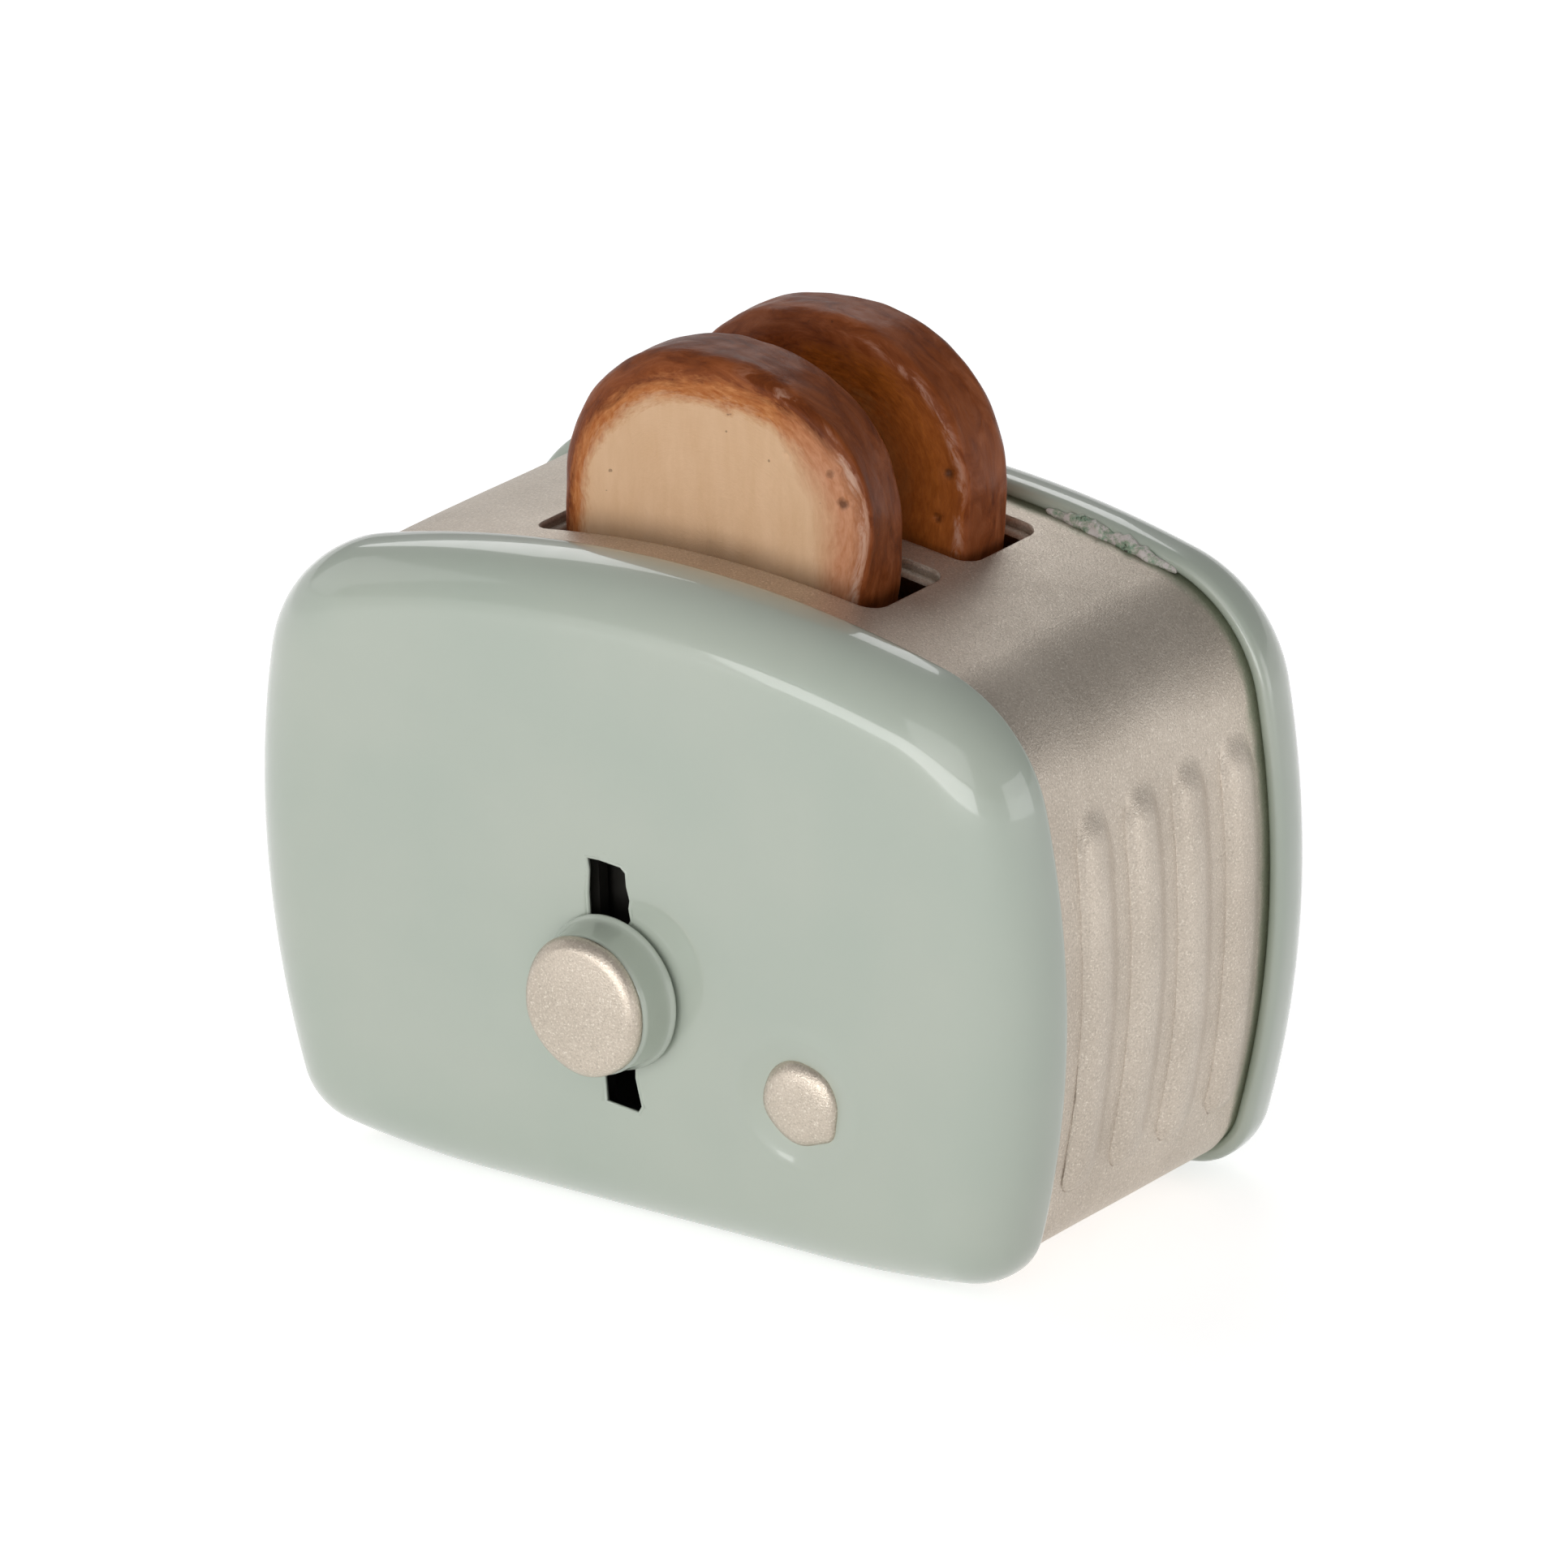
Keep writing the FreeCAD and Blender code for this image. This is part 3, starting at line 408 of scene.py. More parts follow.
def toast(name, tones, pits):
    """Painted resin bread: brushed brown crust, an orange baked band and a beige crumb."""
    n = Nodes(name)
    around = n.attribute("around")
    inward = n.attribute("inward")
    flow = n.combine(n.math("MULTIPLY", around, 0.95), n.math("MULTIPLY", inward, 3.6),
                     n.math("MULTIPLY", n.depth(), 2.3))
    strokes = n.noise(0.34, 6.0, 0.68, flow, 0.8)
    fine = n.noise(1.1, 4.0, 0.6, flow, 0.4)
    clouds = n.noise(0.30, 3.0, 0.6)
    edge = n.attribute("crumb")
    brush = n.noise(2.4, 3.0, 0.6, flow, 0.2)
    ragged = n.math("ADD", n.math("MULTIPLY", n.math("SUBTRACT", strokes, 0.5), 1.3),
                    n.math("MULTIPLY", n.math("SUBTRACT", clouds, 0.5), 0.7))
    ragged = n.math("ADD", ragged, n.math("MULTIPLY", n.math("SUBTRACT", brush, 0.5), 0.6))
    calm = n.math("SUBTRACT", 1.0, n.math("MULTIPLY", n.attribute("strip"), 0.6))
    edge = n.math("ADD", edge, n.math("MULTIPLY", ragged, calm))
    factor = n.math("DIVIDE", edge, 4.0)
    crust = n.ramp(strokes, [(0.30, tones["crust_dark"]), (0.50, tones["crust"]),
                             (0.70, tones["crust_light"])])
    crust = n.mix(n.ramp(clouds, [(0.45, 0.0), (0.75, 0.5)]), crust, tones["crust_light"])
    band = n.ramp(fine, [(0.30, tones["band_dark"]), (0.70, tones["band"])])
    strip = n.ramp(fine, [(0.30, tones["strip_dark"]), (0.70, tones["strip"])])
    band = n.mix(n.attribute("strip"), band, strip)
    brushed = n.noise(0.8, 4.0, 0.6, n.stretched((1.4, 1.0, 0.3)))
    crumb = n.ramp(brushed, [(0.3, tones["crumb_dark"]), (0.72, tones["crumb"])])
    tone = n.mix(n.ramp(factor, [(0.20, 0.0), (0.34, 1.0)]), crust, band)
    tone = n.mix(n.ramp(factor, [(0.40, 0.0), (0.58, 1.0)]), tone, crumb)
    specks = n.ramp(n.noise(1.9, 1.0, 0.5), [(0.19, 1.0), (0.21, 0.0)])
    tone = n.mix(n.math("MULTIPLY", specks, 0.5), tone, tones["pit"])
    for x, z, size in pits:
        spot = n.near((x, ORIGIN_Y + tones["face"], z), size * 0.4, size * 1.3)
        tone = n.mix(n.math("MULTIPLY", spot, 0.8), tone, tones["pit"])
    # Pale worn paint and a painted highlight along the right-hand ridge where the face meets the crust.
    worn_and_highlight = n.math("ABSOLUTE", n.math("SUBTRACT", inward, 0.40), 0.0)
    ridge = n.ramp(worn_and_highlight, [(0.06, 1.0), (0.34, 0.0)])
    ridge = n.math("MULTIPLY", ridge, n.ramp(strokes, [(0.48, 0.0), (0.60, 0.6)]))
    ridge = n.math("MULTIPLY", ridge, n.attribute("ridge"))
    tone = n.mix(ridge, tone, tones["worn_and_highlight"])
    relief = n.bump(strokes, 0.5, 0.16)
    relief = n.bump(fine, 0.4, 0.06, relief)
    rough = n.ramp(fine, [(0.3, 0.34), (0.7, 0.50)])
    return n.set(Base_Color=tone, Roughness=rough, Normal=relief, Specular_IOR_Level=0.12,
                 Coat_Weight=0.05, Coat_Roughness=0.15)


FRONT_TONES = {
    "face": -7.1,
    "crust_dark": srgb(88, 38, 10), "crust": srgb(124, 62, 26), "crust_light": srgb(156, 88, 50),
    "band_dark": srgb(164, 88, 38), "band": srgb(200, 134, 82),
    "strip_dark": srgb(184, 122, 84), "strip": srgb(206, 150, 116),
    "crumb_dark": srgb(217, 178, 140), "crumb": srgb(225, 188, 152),
    "pit": srgb(84, 46, 24), "worn_and_highlight": srgb(206, 176, 158),
}
# The rear slice's tones are its paint darkened by painted shade, as its face stands in the front slice's
# shadow.
REAR_TONES_WITH_PAINTED_SHADE = {
    "face": 1.9,
    "crust_dark": srgb(98, 42, 12), "crust": srgb(134, 68, 30), "crust_light": srgb(162, 94, 58),
    "band_dark": srgb(124, 62, 12), "band": srgb(168, 92, 28),
    "strip_dark": srgb(156, 84, 30), "strip": srgb(186, 106, 46),
    "crumb_dark": srgb(150, 98, 52), "crumb": srgb(176, 126, 78),
    "pit": srgb(70, 38, 18), "worn_and_highlight": srgb(196, 156, 138),
}

ENAMEL = enamel()
BODY_SILVER = silver_paint("body_silver", srgb(208, 196, 182), srgb(192, 180, 166),
                           tint_from=ORIGIN_Y + OVERSPRAY_FROM)
CAP_SILVER = silver_paint("cap_silver", srgb(210, 197, 182), srgb(194, 182, 167), polish=0.10)
# Bare metal for the slot lips, its colour darkened as painted shade for the dim inside of the bread slots.
SHADED_LIP_METAL = bare_metal("lip_metal_painted_shade", srgb(122, 114, 100), 0.10, (0.4, 0.4, 3.0))
# Steel darkened as painted shade, so the inner pieces seen through the lever slot read as the shade inside
# it.
SHADE_DARKENED_STEEL = bare_metal("steel_painted_shade", srgb(74, 72, 68), 0.5, (0.5, 4.0, 0.5))
TIN = bare_metal("tin", srgb(176, 176, 172), 0.34, (0.5, 4.0, 0.5))
STEEL = bare_metal("steel", srgb(196, 196, 196), 0.24, (3.0, 3.0, 0.4))
BRASS = bare_metal("brass", srgb(206, 170, 104), 0.28, (3.0, 3.0, 0.4))
# Near-black solder: its colour is painted shade, standing in for the dark gap between the body and the
# covers' rims.
GAP_SHADE_SOLDER = bare_metal("solder_painted_gap_shade", srgb(40, 38, 32), 0.7, (1.0, 1.0, 1.0))
FRONT_PITS = [(9.0, 42.0, 0.32), (8.2, 43.6, 0.24), (5.2, 43.9, 0.20)]
REAR_PITS = [(9.7, 41.3, 0.32), (9.0, 38.6, 0.25)]
FRONT_TOAST = toast("front_toast", FRONT_TONES, FRONT_PITS)
REAR_TOAST_WITH_PAINTED_SHADE = toast("rear_toast", REAR_TONES_WITH_PAINTED_SHADE, REAR_PITS)


# Covers

DISH_REACH = 3.9
DISH_DEPTH = 0.62
DISH_RIDGE = 0.12


def cover_profile():
    """(inset, depth) steps from the middle of the outer face, over the rim and back inside."""
    steps = []
    for index in range(13):
        angle = math.pi / 2 * index / 12
        steps.append((FACE_ROUND * (1 - math.sin(angle)), FACE_ROUND * (1 - math.cos(angle))))
    lip = COVER_WALL / 2
    for index in range(9):
        angle = math.pi * index / 8
        steps.append((lip - lip * math.cos(angle), COVER_DEPTH - lip + lip * math.sin(angle)))
    inner_round = FACE_ROUND - COVER_WALL
    for index in range(7):
        angle = math.pi / 2 * (1 - index / 6)
        steps.append((COVER_WALL + inner_round * (1 - math.sin(angle)),
                      COVER_WALL + inner_round * (1 - math.cos(angle))))
    return steps


def dish_depth(x, z):
    """How far the face sinks round the button, with a low ridge about it."""
    away = math.hypot(x - BUTTON_X, z - BUTTON_Z) / DISH_REACH
    sunk = DISH_DEPTH * (1 - away**2) ** 2 if away < 1 else 0.0
    ridge = DISH_RIDGE * math.exp(-((away - 1.0) / 0.13) ** 2)
    return sunk - ridge


def build_cover(name, is_front):
    """A pressed shell with a rolled rim, hollow behind, and the button's dish in the front one."""
    rings = 76 if is_front else 30
    loops = []
    profile = cover_profile()
    face_loop = barrel_outline(COVER, FACE_ROUND, 60)
    middle = np.array([0.0, COVER["height"] / 2])
    shares = np.linspace(0.01, 1.0, rings)[:-1]
    flat = [(middle + (face_loop - middle) * share, 0.0) for share in shares]
    rounded = [(barrel_outline(COVER, inset, 60), depth) for inset, depth in profile]
    inner = [(middle + (rounded[-1][0] - middle) * share, COVER_WALL)
             for share in (0.7, 0.4, 0.05)]
    for loop, depth in flat + rounded + inner:
        ring = np.zeros((len(loop), 3))
        for index, (x, z) in enumerate(loop):
            uneven = wobble(x, 0, z, 17.0, 0.10, 3.0 if is_front else 9.0)
            if is_front:
                sunk = dish_depth(x, z) if depth < COVER_WALL else 0.0
                y = front_face_y(z) + depth + sunk + uneven
            else:
                y = COVER_SPACING / 2 - depth - uneven
            ring[index] = (x, y, z)
        loops.append(ring)
    vertices, faces = loft(loops)
    piece = new_piece(name, vertices, faces, ENAMEL, "casing")
    fix_normals(piece)
    return piece


def slot_outline():
    """The hand-cut lever slot's uneven outline, about the knob's axis."""
    half = 1.15
    up = 7.25
    down = 6.65
    return [
        (-half - 0.5, up + 0.3), (-half + 0.35, up + 0.36), (half - 0.5, up + 0.22),
        (half - 0.15, up - 0.1), (half - 0.1, up - 0.9), (half + 0.1, up - 1.7),
        (half, up - 2.2), (half + 0.12, up - 2.9), (half - 0.15, up - 3.3),
        (half, up - 4.4), (half + 0.08, -down + 2.4), (half + 0.05, -down + 1.7),
        (half + 0.4, -down + 0.05), (half + 0.12, -down - 0.42), (-half + 0.2, -down - 0.2),
        (-half + 0.1, -down + 1.5), (-half - 0.3, up - 4.6), (-half - 0.5, up - 3.5),
        (-half - 0.55, up - 1.8), (-half - 0.45, up - 0.5),
    ]


def cut_lever_slot(cover):
    """Cuts the slot, wider behind the face so that its edge looks like thin sheet."""
    rings = []
    for depth, spread in ((-2.0, 1.0), (0.35, 1.0), (0.9, 1.5), (2.5, 1.5)):
        rings.append(np.array([on_front(LEVER_X + x * spread, depth, up * (1 + (spread - 1) / 8))
                               for x, up in slot_outline()]))
    vertices, faces = loft(rings)
    cut(cover, new_piece("slot_cutter", vertices, faces, ENAMEL, None))


def slot_paint():
    """The bead that thick paint leaves along the slot's cut edge."""
    curve = bpy.data.curves.new("slot_paint", "CURVE")
    curve.dimensions = "3D"
    curve.bevel_depth = 0.13 * MM
    curve.bevel_resolution = 3
    spline = curve.splines.new("POLY")
    points = [on_front(LEVER_X + x, 0.10, up) for x, up in slot_outline()]
    spline.points.add(len(points) - 1)
    for target, point in zip(spline.points, points):
        target.co = (point[0] * MM, (point[1] + ORIGIN_Y) * MM, point[2] * MM, 1.0)
    spline.use_cyclic_u = True
    curve.materials.append(ENAMEL)
    shape = bpy.data.objects.new("slot_paint_curve", curve)
    bpy.context.scene.collection.objects.link(shape)
    graph = bpy.context.evaluated_depsgraph_get()
    mesh = bpy.data.meshes.new_from_object(shape.evaluated_get(graph))
    bpy.data.objects.remove(shape)
    mesh.shade_smooth()
    piece = bpy.data.objects.new("slot_paint", mesh)
    bpy.context.scene.collection.objects.link(piece)
    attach(piece, "casing")


# Body

REAR_TUCK = 0.22
RIB_COUNT = 4
RIB_MIDDLE = (RIB_COUNT - 1) / 2
RIB_PITCH = 4.62
RIB_MIDDLE_Y = 0.63
RIB_HALF = 1.35
RIB_LOW = 5.7
RIB_HIGH = 27.8
RIB_RISE = 0.52
RIB_CORNER = 0.6
RIB_FLANK = 0.55
RIB_CREST = -0.15
RIB_HIGH_END = 2.4
RIB_LOW_END = 0.9
RIB_FADE = 1.6
FLANGE_X = 17.5
SLOT_MIDDLE_X = 0.35
SLOT_HALF_LENGTH = 11.0
SLOT_HALF_WIDTH = 3.1
SLOT_CORNER = 0.8
SLOT_YS = (-4.6, 4.4)


def rib_end(distance, reach):
    """0 at the end of a rib and beyond it, rising to 1 at a distance inside."""
    return math.sin(math.pi / 2 * min(max(distance / reach, 0.0), 1.0)) ** 2


def rib_rise(x, y, z):
    """How far the body's side stands out at a place, for the pressed ribs."""
    if abs(x) < COVER["half_width"] * 0.7:
        return 0.0
    best = 0.0
    for index in range(RIB_COUNT):
        wander = wobble(0, index * 7.0, z, 8.0, 0.16, 61.0)
        middle = RIB_MIDDLE_Y + RIB_PITCH * (index - RIB_MIDDLE) + wander
        across = (y - middle) / RIB_HALF
        beside = across - RIB_CREST
        if beside < 0:
            dome = max(0.0, 1 - abs(beside / (1 + RIB_CREST)) ** 3.5)
        else:
            dome = math.cos(math.pi / 2 * min(beside / RIB_FADE, 1.0)) ** 2
        corner = RIB_CORNER * min(abs(across), 1.0) ** 4
        high = rib_end(RIB_HIGH - z - corner, RIB_HIGH_END)
        low = rib_end(z - RIB_LOW - corner, RIB_LOW_END)
        best = max(best, RIB_RISE * dome * high * low)
    return best


def body_columns(first, last):
    """Places across the body, closer together over the flanks of the ribs."""
    places = list(np.linspace(first, last, 90))
    for index in range(RIB_COUNT):
        middle = RIB_MIDDLE_Y + RIB_PITCH * (index - RIB_MIDDLE)
        for side in (-1, 1):
            flank = middle + side * (RIB_HALF - RIB_FLANK / 2)
            places += list(flank + np.linspace(-0.6, 0.6, 15))
    places = np.sort(np.array([p for p in places if first <= p <= last]))
    kept = [places[0]]
    for place in places[1:-1]:
        if place - kept[-1] > 0.05 and last - place > 0.05:
            kept.append(place)
    return kept + [places[-1]]


def body_top(x):
    """The height of the body's top at a distance from the middle."""
    radius = COVER["top"] - BODY_INSET
    return COVER["height"] - COVER["top"] + math.sqrt(radius**2 - x**2)


def build_body():
    """The bent sheet with its ribs, open at the bottom, and its two bread slots."""
    loop = barrel_outline(COVER, BODY_INSET, 160)
    normals = outward_normals(loop)
    keep = [index for index in range(len(loop))
            if abs(loop[index][0]) > FLANGE_X or loop[index][1] > COVER["height"] / 2]
    start = next(i for i in keep if loop[i][0] > 0)
    order = [index for index in keep if index >= start] + [index for index in keep if index < start]
    across = body_columns(-COVER_SPACING / 2 + COVER_DEPTH - COVER_OVERLAP,
                          COVER_SPACING / 2 - COVER_DEPTH + COVER_OVERLAP)
    columns = len(across)
    vertices = []
    for index in order:
        x, z = loop[index]
        nx, nz = normals[index]
        shift = front_face_y(z) + COVER_SPACING / 2
        for place in across:
            near_front = min(max((-4.0 - place) / 5.0, 0.0), 1.0)
            y = place + shift * near_front
            rise = rib_rise(x, y, z)
            rise += wobble(x, y, z, 9.0, 0.08, 21.0) * min(max((abs(x) - 13) / 3, 0.0), 1.0)
            rise -= REAR_TUCK * min(max((y - 9.3) / 0.8, 0.0), 1.0) * min(abs(x) / 12, 1.0)
            vertices.append((x + nx * rise, y, z + nz * rise))
    faces = []
    for row in range(len(order) - 1):
        for column in range(columns - 1):
            low = row * columns + column
            faces.append((low, low + columns, low + columns + 1, low + 1))
    piece = new_piece("painted_body", vertices, faces, BODY_SILVER, "casing")
    sheet = piece.modifiers.new("sheet", "SOLIDIFY")
    sheet.thickness = BODY_SHEET * MM
    sheet.offset = -1.0
    apply_modifiers(piece)
    for y in SLOT_YS:
        rings = []
        for z in (COVER["height"] - 6, COVER["height"] + 2):
            outline = rounded_box(SLOT_HALF_LENGTH + 0.42, SLOT_HALF_WIDTH + 0.42, SLOT_CORNER + 0.42)
            rings.append(np.array([(SLOT_MIDDLE_X + a, y + b, z) for a, b in outline]))
        ring_vertices, ring_faces = loft(rings)
        cut(piece, new_piece("bread_slot_cutter", ring_vertices, ring_faces, BODY_SILVER, None))
    piece.data.shade_smooth()
    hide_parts("body_shell")


def rounded_box(half_x, half_y, corner):
    """(x, y) points round a rectangle with round corners, evenly spaced corners first."""
    points = []
    for sign_x, sign_y, first in ((1, 1, 0), (-1, 1, 90), (-1, -1, 180), (1, -1, 270)):
        for step in range(9):
            angle = math.radians(first + 90 * step / 8)
            points.append((sign_x * (half_x - corner) + corner * math.cos(angle),
                           sign_y * (half_y - corner) + corner * math.sin(angle)))
    dense = []
    for index, point in enumerate(points):
        following = np.array(points[(index + 1) % len(points)])
        gap = np.hypot(*(following - point))
        pieces = max(1, round(gap / 0.5))
        dense += [tuple(np.array(point) + (following - point) * k / pieces) for k in range(pieces)]
    return dense


LIP_BARE_BELOW = -0.35


def build_slot_lips():
    """The turned-down edge of each bread slot, rounded at the top."""
    fold = 0.45
    drop = 1.6
    profile = [(fold + 0.5, -0.02), (fold + 0.48, 0.012), (fold + 0.2, 0.018)]
    profile += [(fold - fold * math.sin(a), 0.018 - fold + fold * math.cos(a))
                for a in np.linspace(0, math.pi / 2, 9)]
    profile += [(0.0, -1.0), (0.0, -drop + 0.1), (0.1, -drop), (0.5, -drop), (0.55, -0.8),
                (fold + 0.3, -0.75)]
    for name, y in zip(("front_slot_lip", "rear_slot_lip"), SLOT_YS):
        loops = []
        for out, up in profile:
            ring = rounded_box(SLOT_HALF_LENGTH + out, SLOT_HALF_WIDTH + out, SLOT_CORNER + out)
            base = rounded_box(SLOT_HALF_LENGTH, SLOT_HALF_WIDTH, SLOT_CORNER)
            count = len(base)
            ring = resample(ring, count)
            loops.append(np.array([(SLOT_MIDDLE_X + a, y + b, body_top(SLOT_MIDDLE_X + a) + up)
                                   for a, b in ring]))
        vertices, faces = loft(loops, closed_ring=True)
        piece = new_piece(name, vertices, faces, BODY_SILVER, "casing")
        piece.data.materials.append(SHADED_LIP_METAL)
        fix_normals(piece)
        # The lower part of each lip takes the darkened metal: bare metal with painted shade for the inside
        # of the slot.
        for polygon in piece.data.polygons:
            height = polygon.center.z / MM - body_top(polygon.center.x / MM)
            if height < LIP_BARE_BELOW:
                polygon.material_index = 1


def resample(ring, count):
    """A closed ring of points, respaced evenly by length."""
    points = np.array(list(ring) + [ring[0]])
    lengths = np.r_[0, np.cumsum(np.hypot(*np.diff(points, axis=0).T))]
    places = np.linspace(0, lengths[-1], count, endpoint=False)
    return np.stack([np.interp(places, lengths, points[:, axis]) for axis in (0, 1)], 1)


# Knob and button

TAIL_ANGLE = math.radians(-38)
TAIL_SPREAD = 0.28
TURNED_SIDES = 96


def turned_piece(name, profile, centre, material, body, unevenness, seed, tall=1.0, tail=0.0):
    """A turned solid about an axis square to the front cover, from (radius, depth) steps."""
    lean = math.atan(FRONT_LEAN)
    along_face = np.array([0, -math.sin(lean), math.cos(lean)])
    inwards = np.array([0, math.cos(lean), math.sin(lean)])
    across = np.array([1.0, 0, 0])
    base = np.array([centre[0], front_face_y(centre[1]), centre[1]])
    loops = []
    for radius, depth in profile:
        ring = []
        for angle in np.linspace(0, 2 * math.pi, TURNED_SIDES, endpoint=False):
            reach = radius * (1 + unevenness * noise.noise(
                Vector((1.3 * math.cos(angle) + seed, 1.3 * math.sin(angle), 0))))
            off_tail = (angle - TAIL_ANGLE + math.pi) % (2 * math.pi) - math.pi
            reach += radius * tail * math.exp(-(off_tail / TAIL_SPREAD) ** 2)
            ring.append(base + across * reach * math.cos(angle)
                        + along_face * reach * tall * math.sin(angle) + inwards * depth)
        loops.append(np.array(ring))
    vertices, faces = loft(loops)
    piece = new_piece(name, vertices, faces, material, body)
    fix_normals(piece)
    return piece


def rounded_edge(radius, depth, fillet, steps=8):
    """Profile steps over a rounded front edge, from the side to the face."""
    return [(radius - fillet + fillet * math.cos(a), depth + fillet - fillet * math.sin(a))
            for a in np.linspace(0, math.pi / 2, steps)]


def build_knob():
    """The lever's green barrel with its silver cap."""
    barrel = [(3.4, -0.3), (4.14, -0.3), (4.28, -0.34), (4.34, -0.43), (4.31, -0.53), (4.20, -0.62),
              (4.12, -0.75), (4.07, -1.0), (4.03, -1.35), (3.99, -1.7), (3.96, -2.05)]
    barrel += rounded_edge(3.93, -2.72, 0.42)
    barrel += [(2.5, -2.74), (0.8, -2.74)]
    knob = turned_piece("painted_knob", barrel, (LEVER_X, LEVER_Z + 0.05), ENAMEL, "lever",
                        0.010, 4.0, tall=1.045)
    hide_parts("lever_knob")
    cap = [(2.0, -2.6), (3.62, -2.6), (3.76, -2.74)]
    cap += rounded_edge(3.80, -3.50, 0.78, 12)
    cap += [(2.7, -3.53), (2.2, -3.57), (1.6, -3.60), (0.9, -3.62), (0.2, -3.62)]
    disc = turned_piece("painted_cap", cap, (LEVER_X - 0.03, LEVER_Z + 0.14), CAP_SILVER, "lever",
                        0.030, 11.0, tall=1.075)
    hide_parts("knob_cap")


def build_button():
    """The small domed button, drawn out a little on one side."""
    dome = [(0.8, 0.6), (2.36, 0.46), (2.46, 0.28), (2.40, 0.08), (2.22, -0.12), (1.86, -0.28),
            (1.3, -0.38), (0.7, -0.41), (0.15, -0.42)]
    piece = turned_piece("painted_button", dome, (BUTTON_X + 0.1, BUTTON_Z), CAP_SILVER, "casing",
                         0.06, 17.5, tail=0.10)
    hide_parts("button")


# Bread

def build_slice(name, node, body, material, seed, laps, band, pits, flare_by):
    """A modelled slice: an uneven outline, a crowned crust and slightly hollow faces."""
    low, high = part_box(node)
    middle_x = (low.x + high.x) / 2 / MM
    middle_y = (low.y + high.y) / 2 / MM - ORIGIN_Y
    foot_z = low.z / MM
    half = SLICE_THICKNESS / 2
    outer = barrel_outline(SLICE, 0.0, SLICE_FINENESS)
    side = outward_normals(outer)
    lengths = np.r_[0, np.cumsum(np.hypot(*np.diff(outer, axis=0).T))]
    centre = np.array([0.0, SLICE["height"] / 2])
    # The front edge is well rounded over the top and the left, and sharp on the right.
    bearing = np.arctan2(outer[:, 0], outer[:, 1] - centre[1])
    front_round = 0.32 + 1.1 * np.maximum(0, np.cos(bearing + 0.5)) ** 2
    lip = np.clip((np.sin(bearing) - 0.12) / 0.4, 0, 1)
    steps = [("face", share, -1) for share in np.linspace(0.02, 1.0, 52)[:-1]]
    steps += [("front_edge", angle, -1) for angle in np.linspace(0, math.pi / 2, 12)]
    steps += [("crust", share, 0) for share in np.linspace(0, 1, 14)[1:-1]]
    steps += [("back_edge", angle, 1) for angle in np.linspace(math.pi / 2, 0, 10)]
    steps += [("face", share, 1) for share in np.linspace(1.0, 0.02, 34)[1:]]
    back_round = np.full(len(outer), 0.75)
    loops = []
    inward = []
    for kind, amount, facing in steps:
        rounding = front_round if facing <= 0 else back_round
        if kind == "crust":
            start = -half + front_round
            y = start + (half - back_round - start) * amount
            inset = np.zeros(len(outer))
        elif kind == "face":
            y = np.full(len(outer), facing * half)
            inset = rounding
        else:
            y = facing * (half - rounding * (1 - math.cos(amount)))
            inset = rounding * (1 - math.sin(amount))
        loop = outer - side * inset[:, None]
        if kind == "face":
            loop = centre + (loop - centre) * amount
        depth = np.linalg.norm(outer - loop, axis=1)
        ring = np.zeros((len(loop), 3))
        for index, (x, z) in enumerate(loop):
            place_y = y[index]
            ends = outer[index]
            bulge = wobble(ends[0], place_y, ends[1], 6.0, 0.20, seed)
            bulge += wobble(ends[0], place_y * 2, ends[1], 1.5, 0.07, seed + 5)
            crown = 0.10 * (1 - (place_y / half) ** 2)
            near = max(0.0, 1 - depth[index] / 2.5)
            near_front = max(0.0, 1 - (place_y + half) / 3.0)
            flare = flare_by * lip[index] * near_front * math.exp(-((z - FLARE_HEIGHT) / FLARE_SPREAD) ** 2)
            push = (bulge + 0.10 + crown + flare) * near
            dent = facing * (wobble(x, 0, z, 3.0, 0.13, seed + 2) - 0.06
                             + 0.10 * math.exp(-((depth[index] - 1.6) / 0.8) ** 2)
                             + 0.16 * lip[index] * math.exp(-((depth[index] - 0.55) / 0.3) ** 2))
            for pit_x, pit_z, size in pits:
                away = math.hypot(middle_x + x - pit_x, foot_z + z - pit_z) / size
                dent -= facing * (0.30 * math.exp(-away**2) if facing < 0 else 0.0)
            ring[index] = (middle_x + x + side[index][0] * push, middle_y + place_y + dent,
                           foot_z + z + side[index][1] * push)
        ring[:, 2] = np.maximum(ring[:, 2], foot_z)
        loops.append(ring)
        inward.append(depth)
    vertices, faces = loft(loops)
    piece = new_piece(name, vertices, faces, material, body)
    fix_normals(piece)
    # Crust laps furthest over the top edge, and the baked band is widest at the right.
    lap = 0.16 + laps * np.maximum(0, np.cos(bearing + 0.35)) ** 1.5
    right = np.clip((np.sin(bearing) - 0.45) / 0.35, 0, 1)
    width = band * (0.8 + 0.15 * np.sin(bearing) + 0.5 * right)
    baked = [np.where(d < lap, d / lap, 1 + (d - lap) / width) for d in inward]
    rows = len(loops)
    hubs = [0.0, 0.0]
    write_attribute(piece, "crumb", np.r_[np.concatenate(baked), 6.0, 6.0])
    write_attribute(piece, "ridge", np.r_[np.tile(lip, rows), hubs])
    write_attribute(piece, "around", np.r_[np.tile(lengths, rows), hubs])
    write_attribute(piece, "strip", np.r_[np.tile(right, rows), hubs])
    write_attribute(piece, "inward", np.r_[np.concatenate(inward), 9.0, 9.0])
    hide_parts(node)


def write_attribute(piece, name, values):
    """Keeps one number for each vertex, for the material to read."""
    layer = piece.data.attributes.new(name, "FLOAT", "POINT")
    layer.data.foreach_set("value", np.asarray(values, np.float32))


# Solder

LUMP_FROM = 10.5
LUMP_TO = 19.0
LUMP_STEPS = 150
LUMP_SIDES = 22


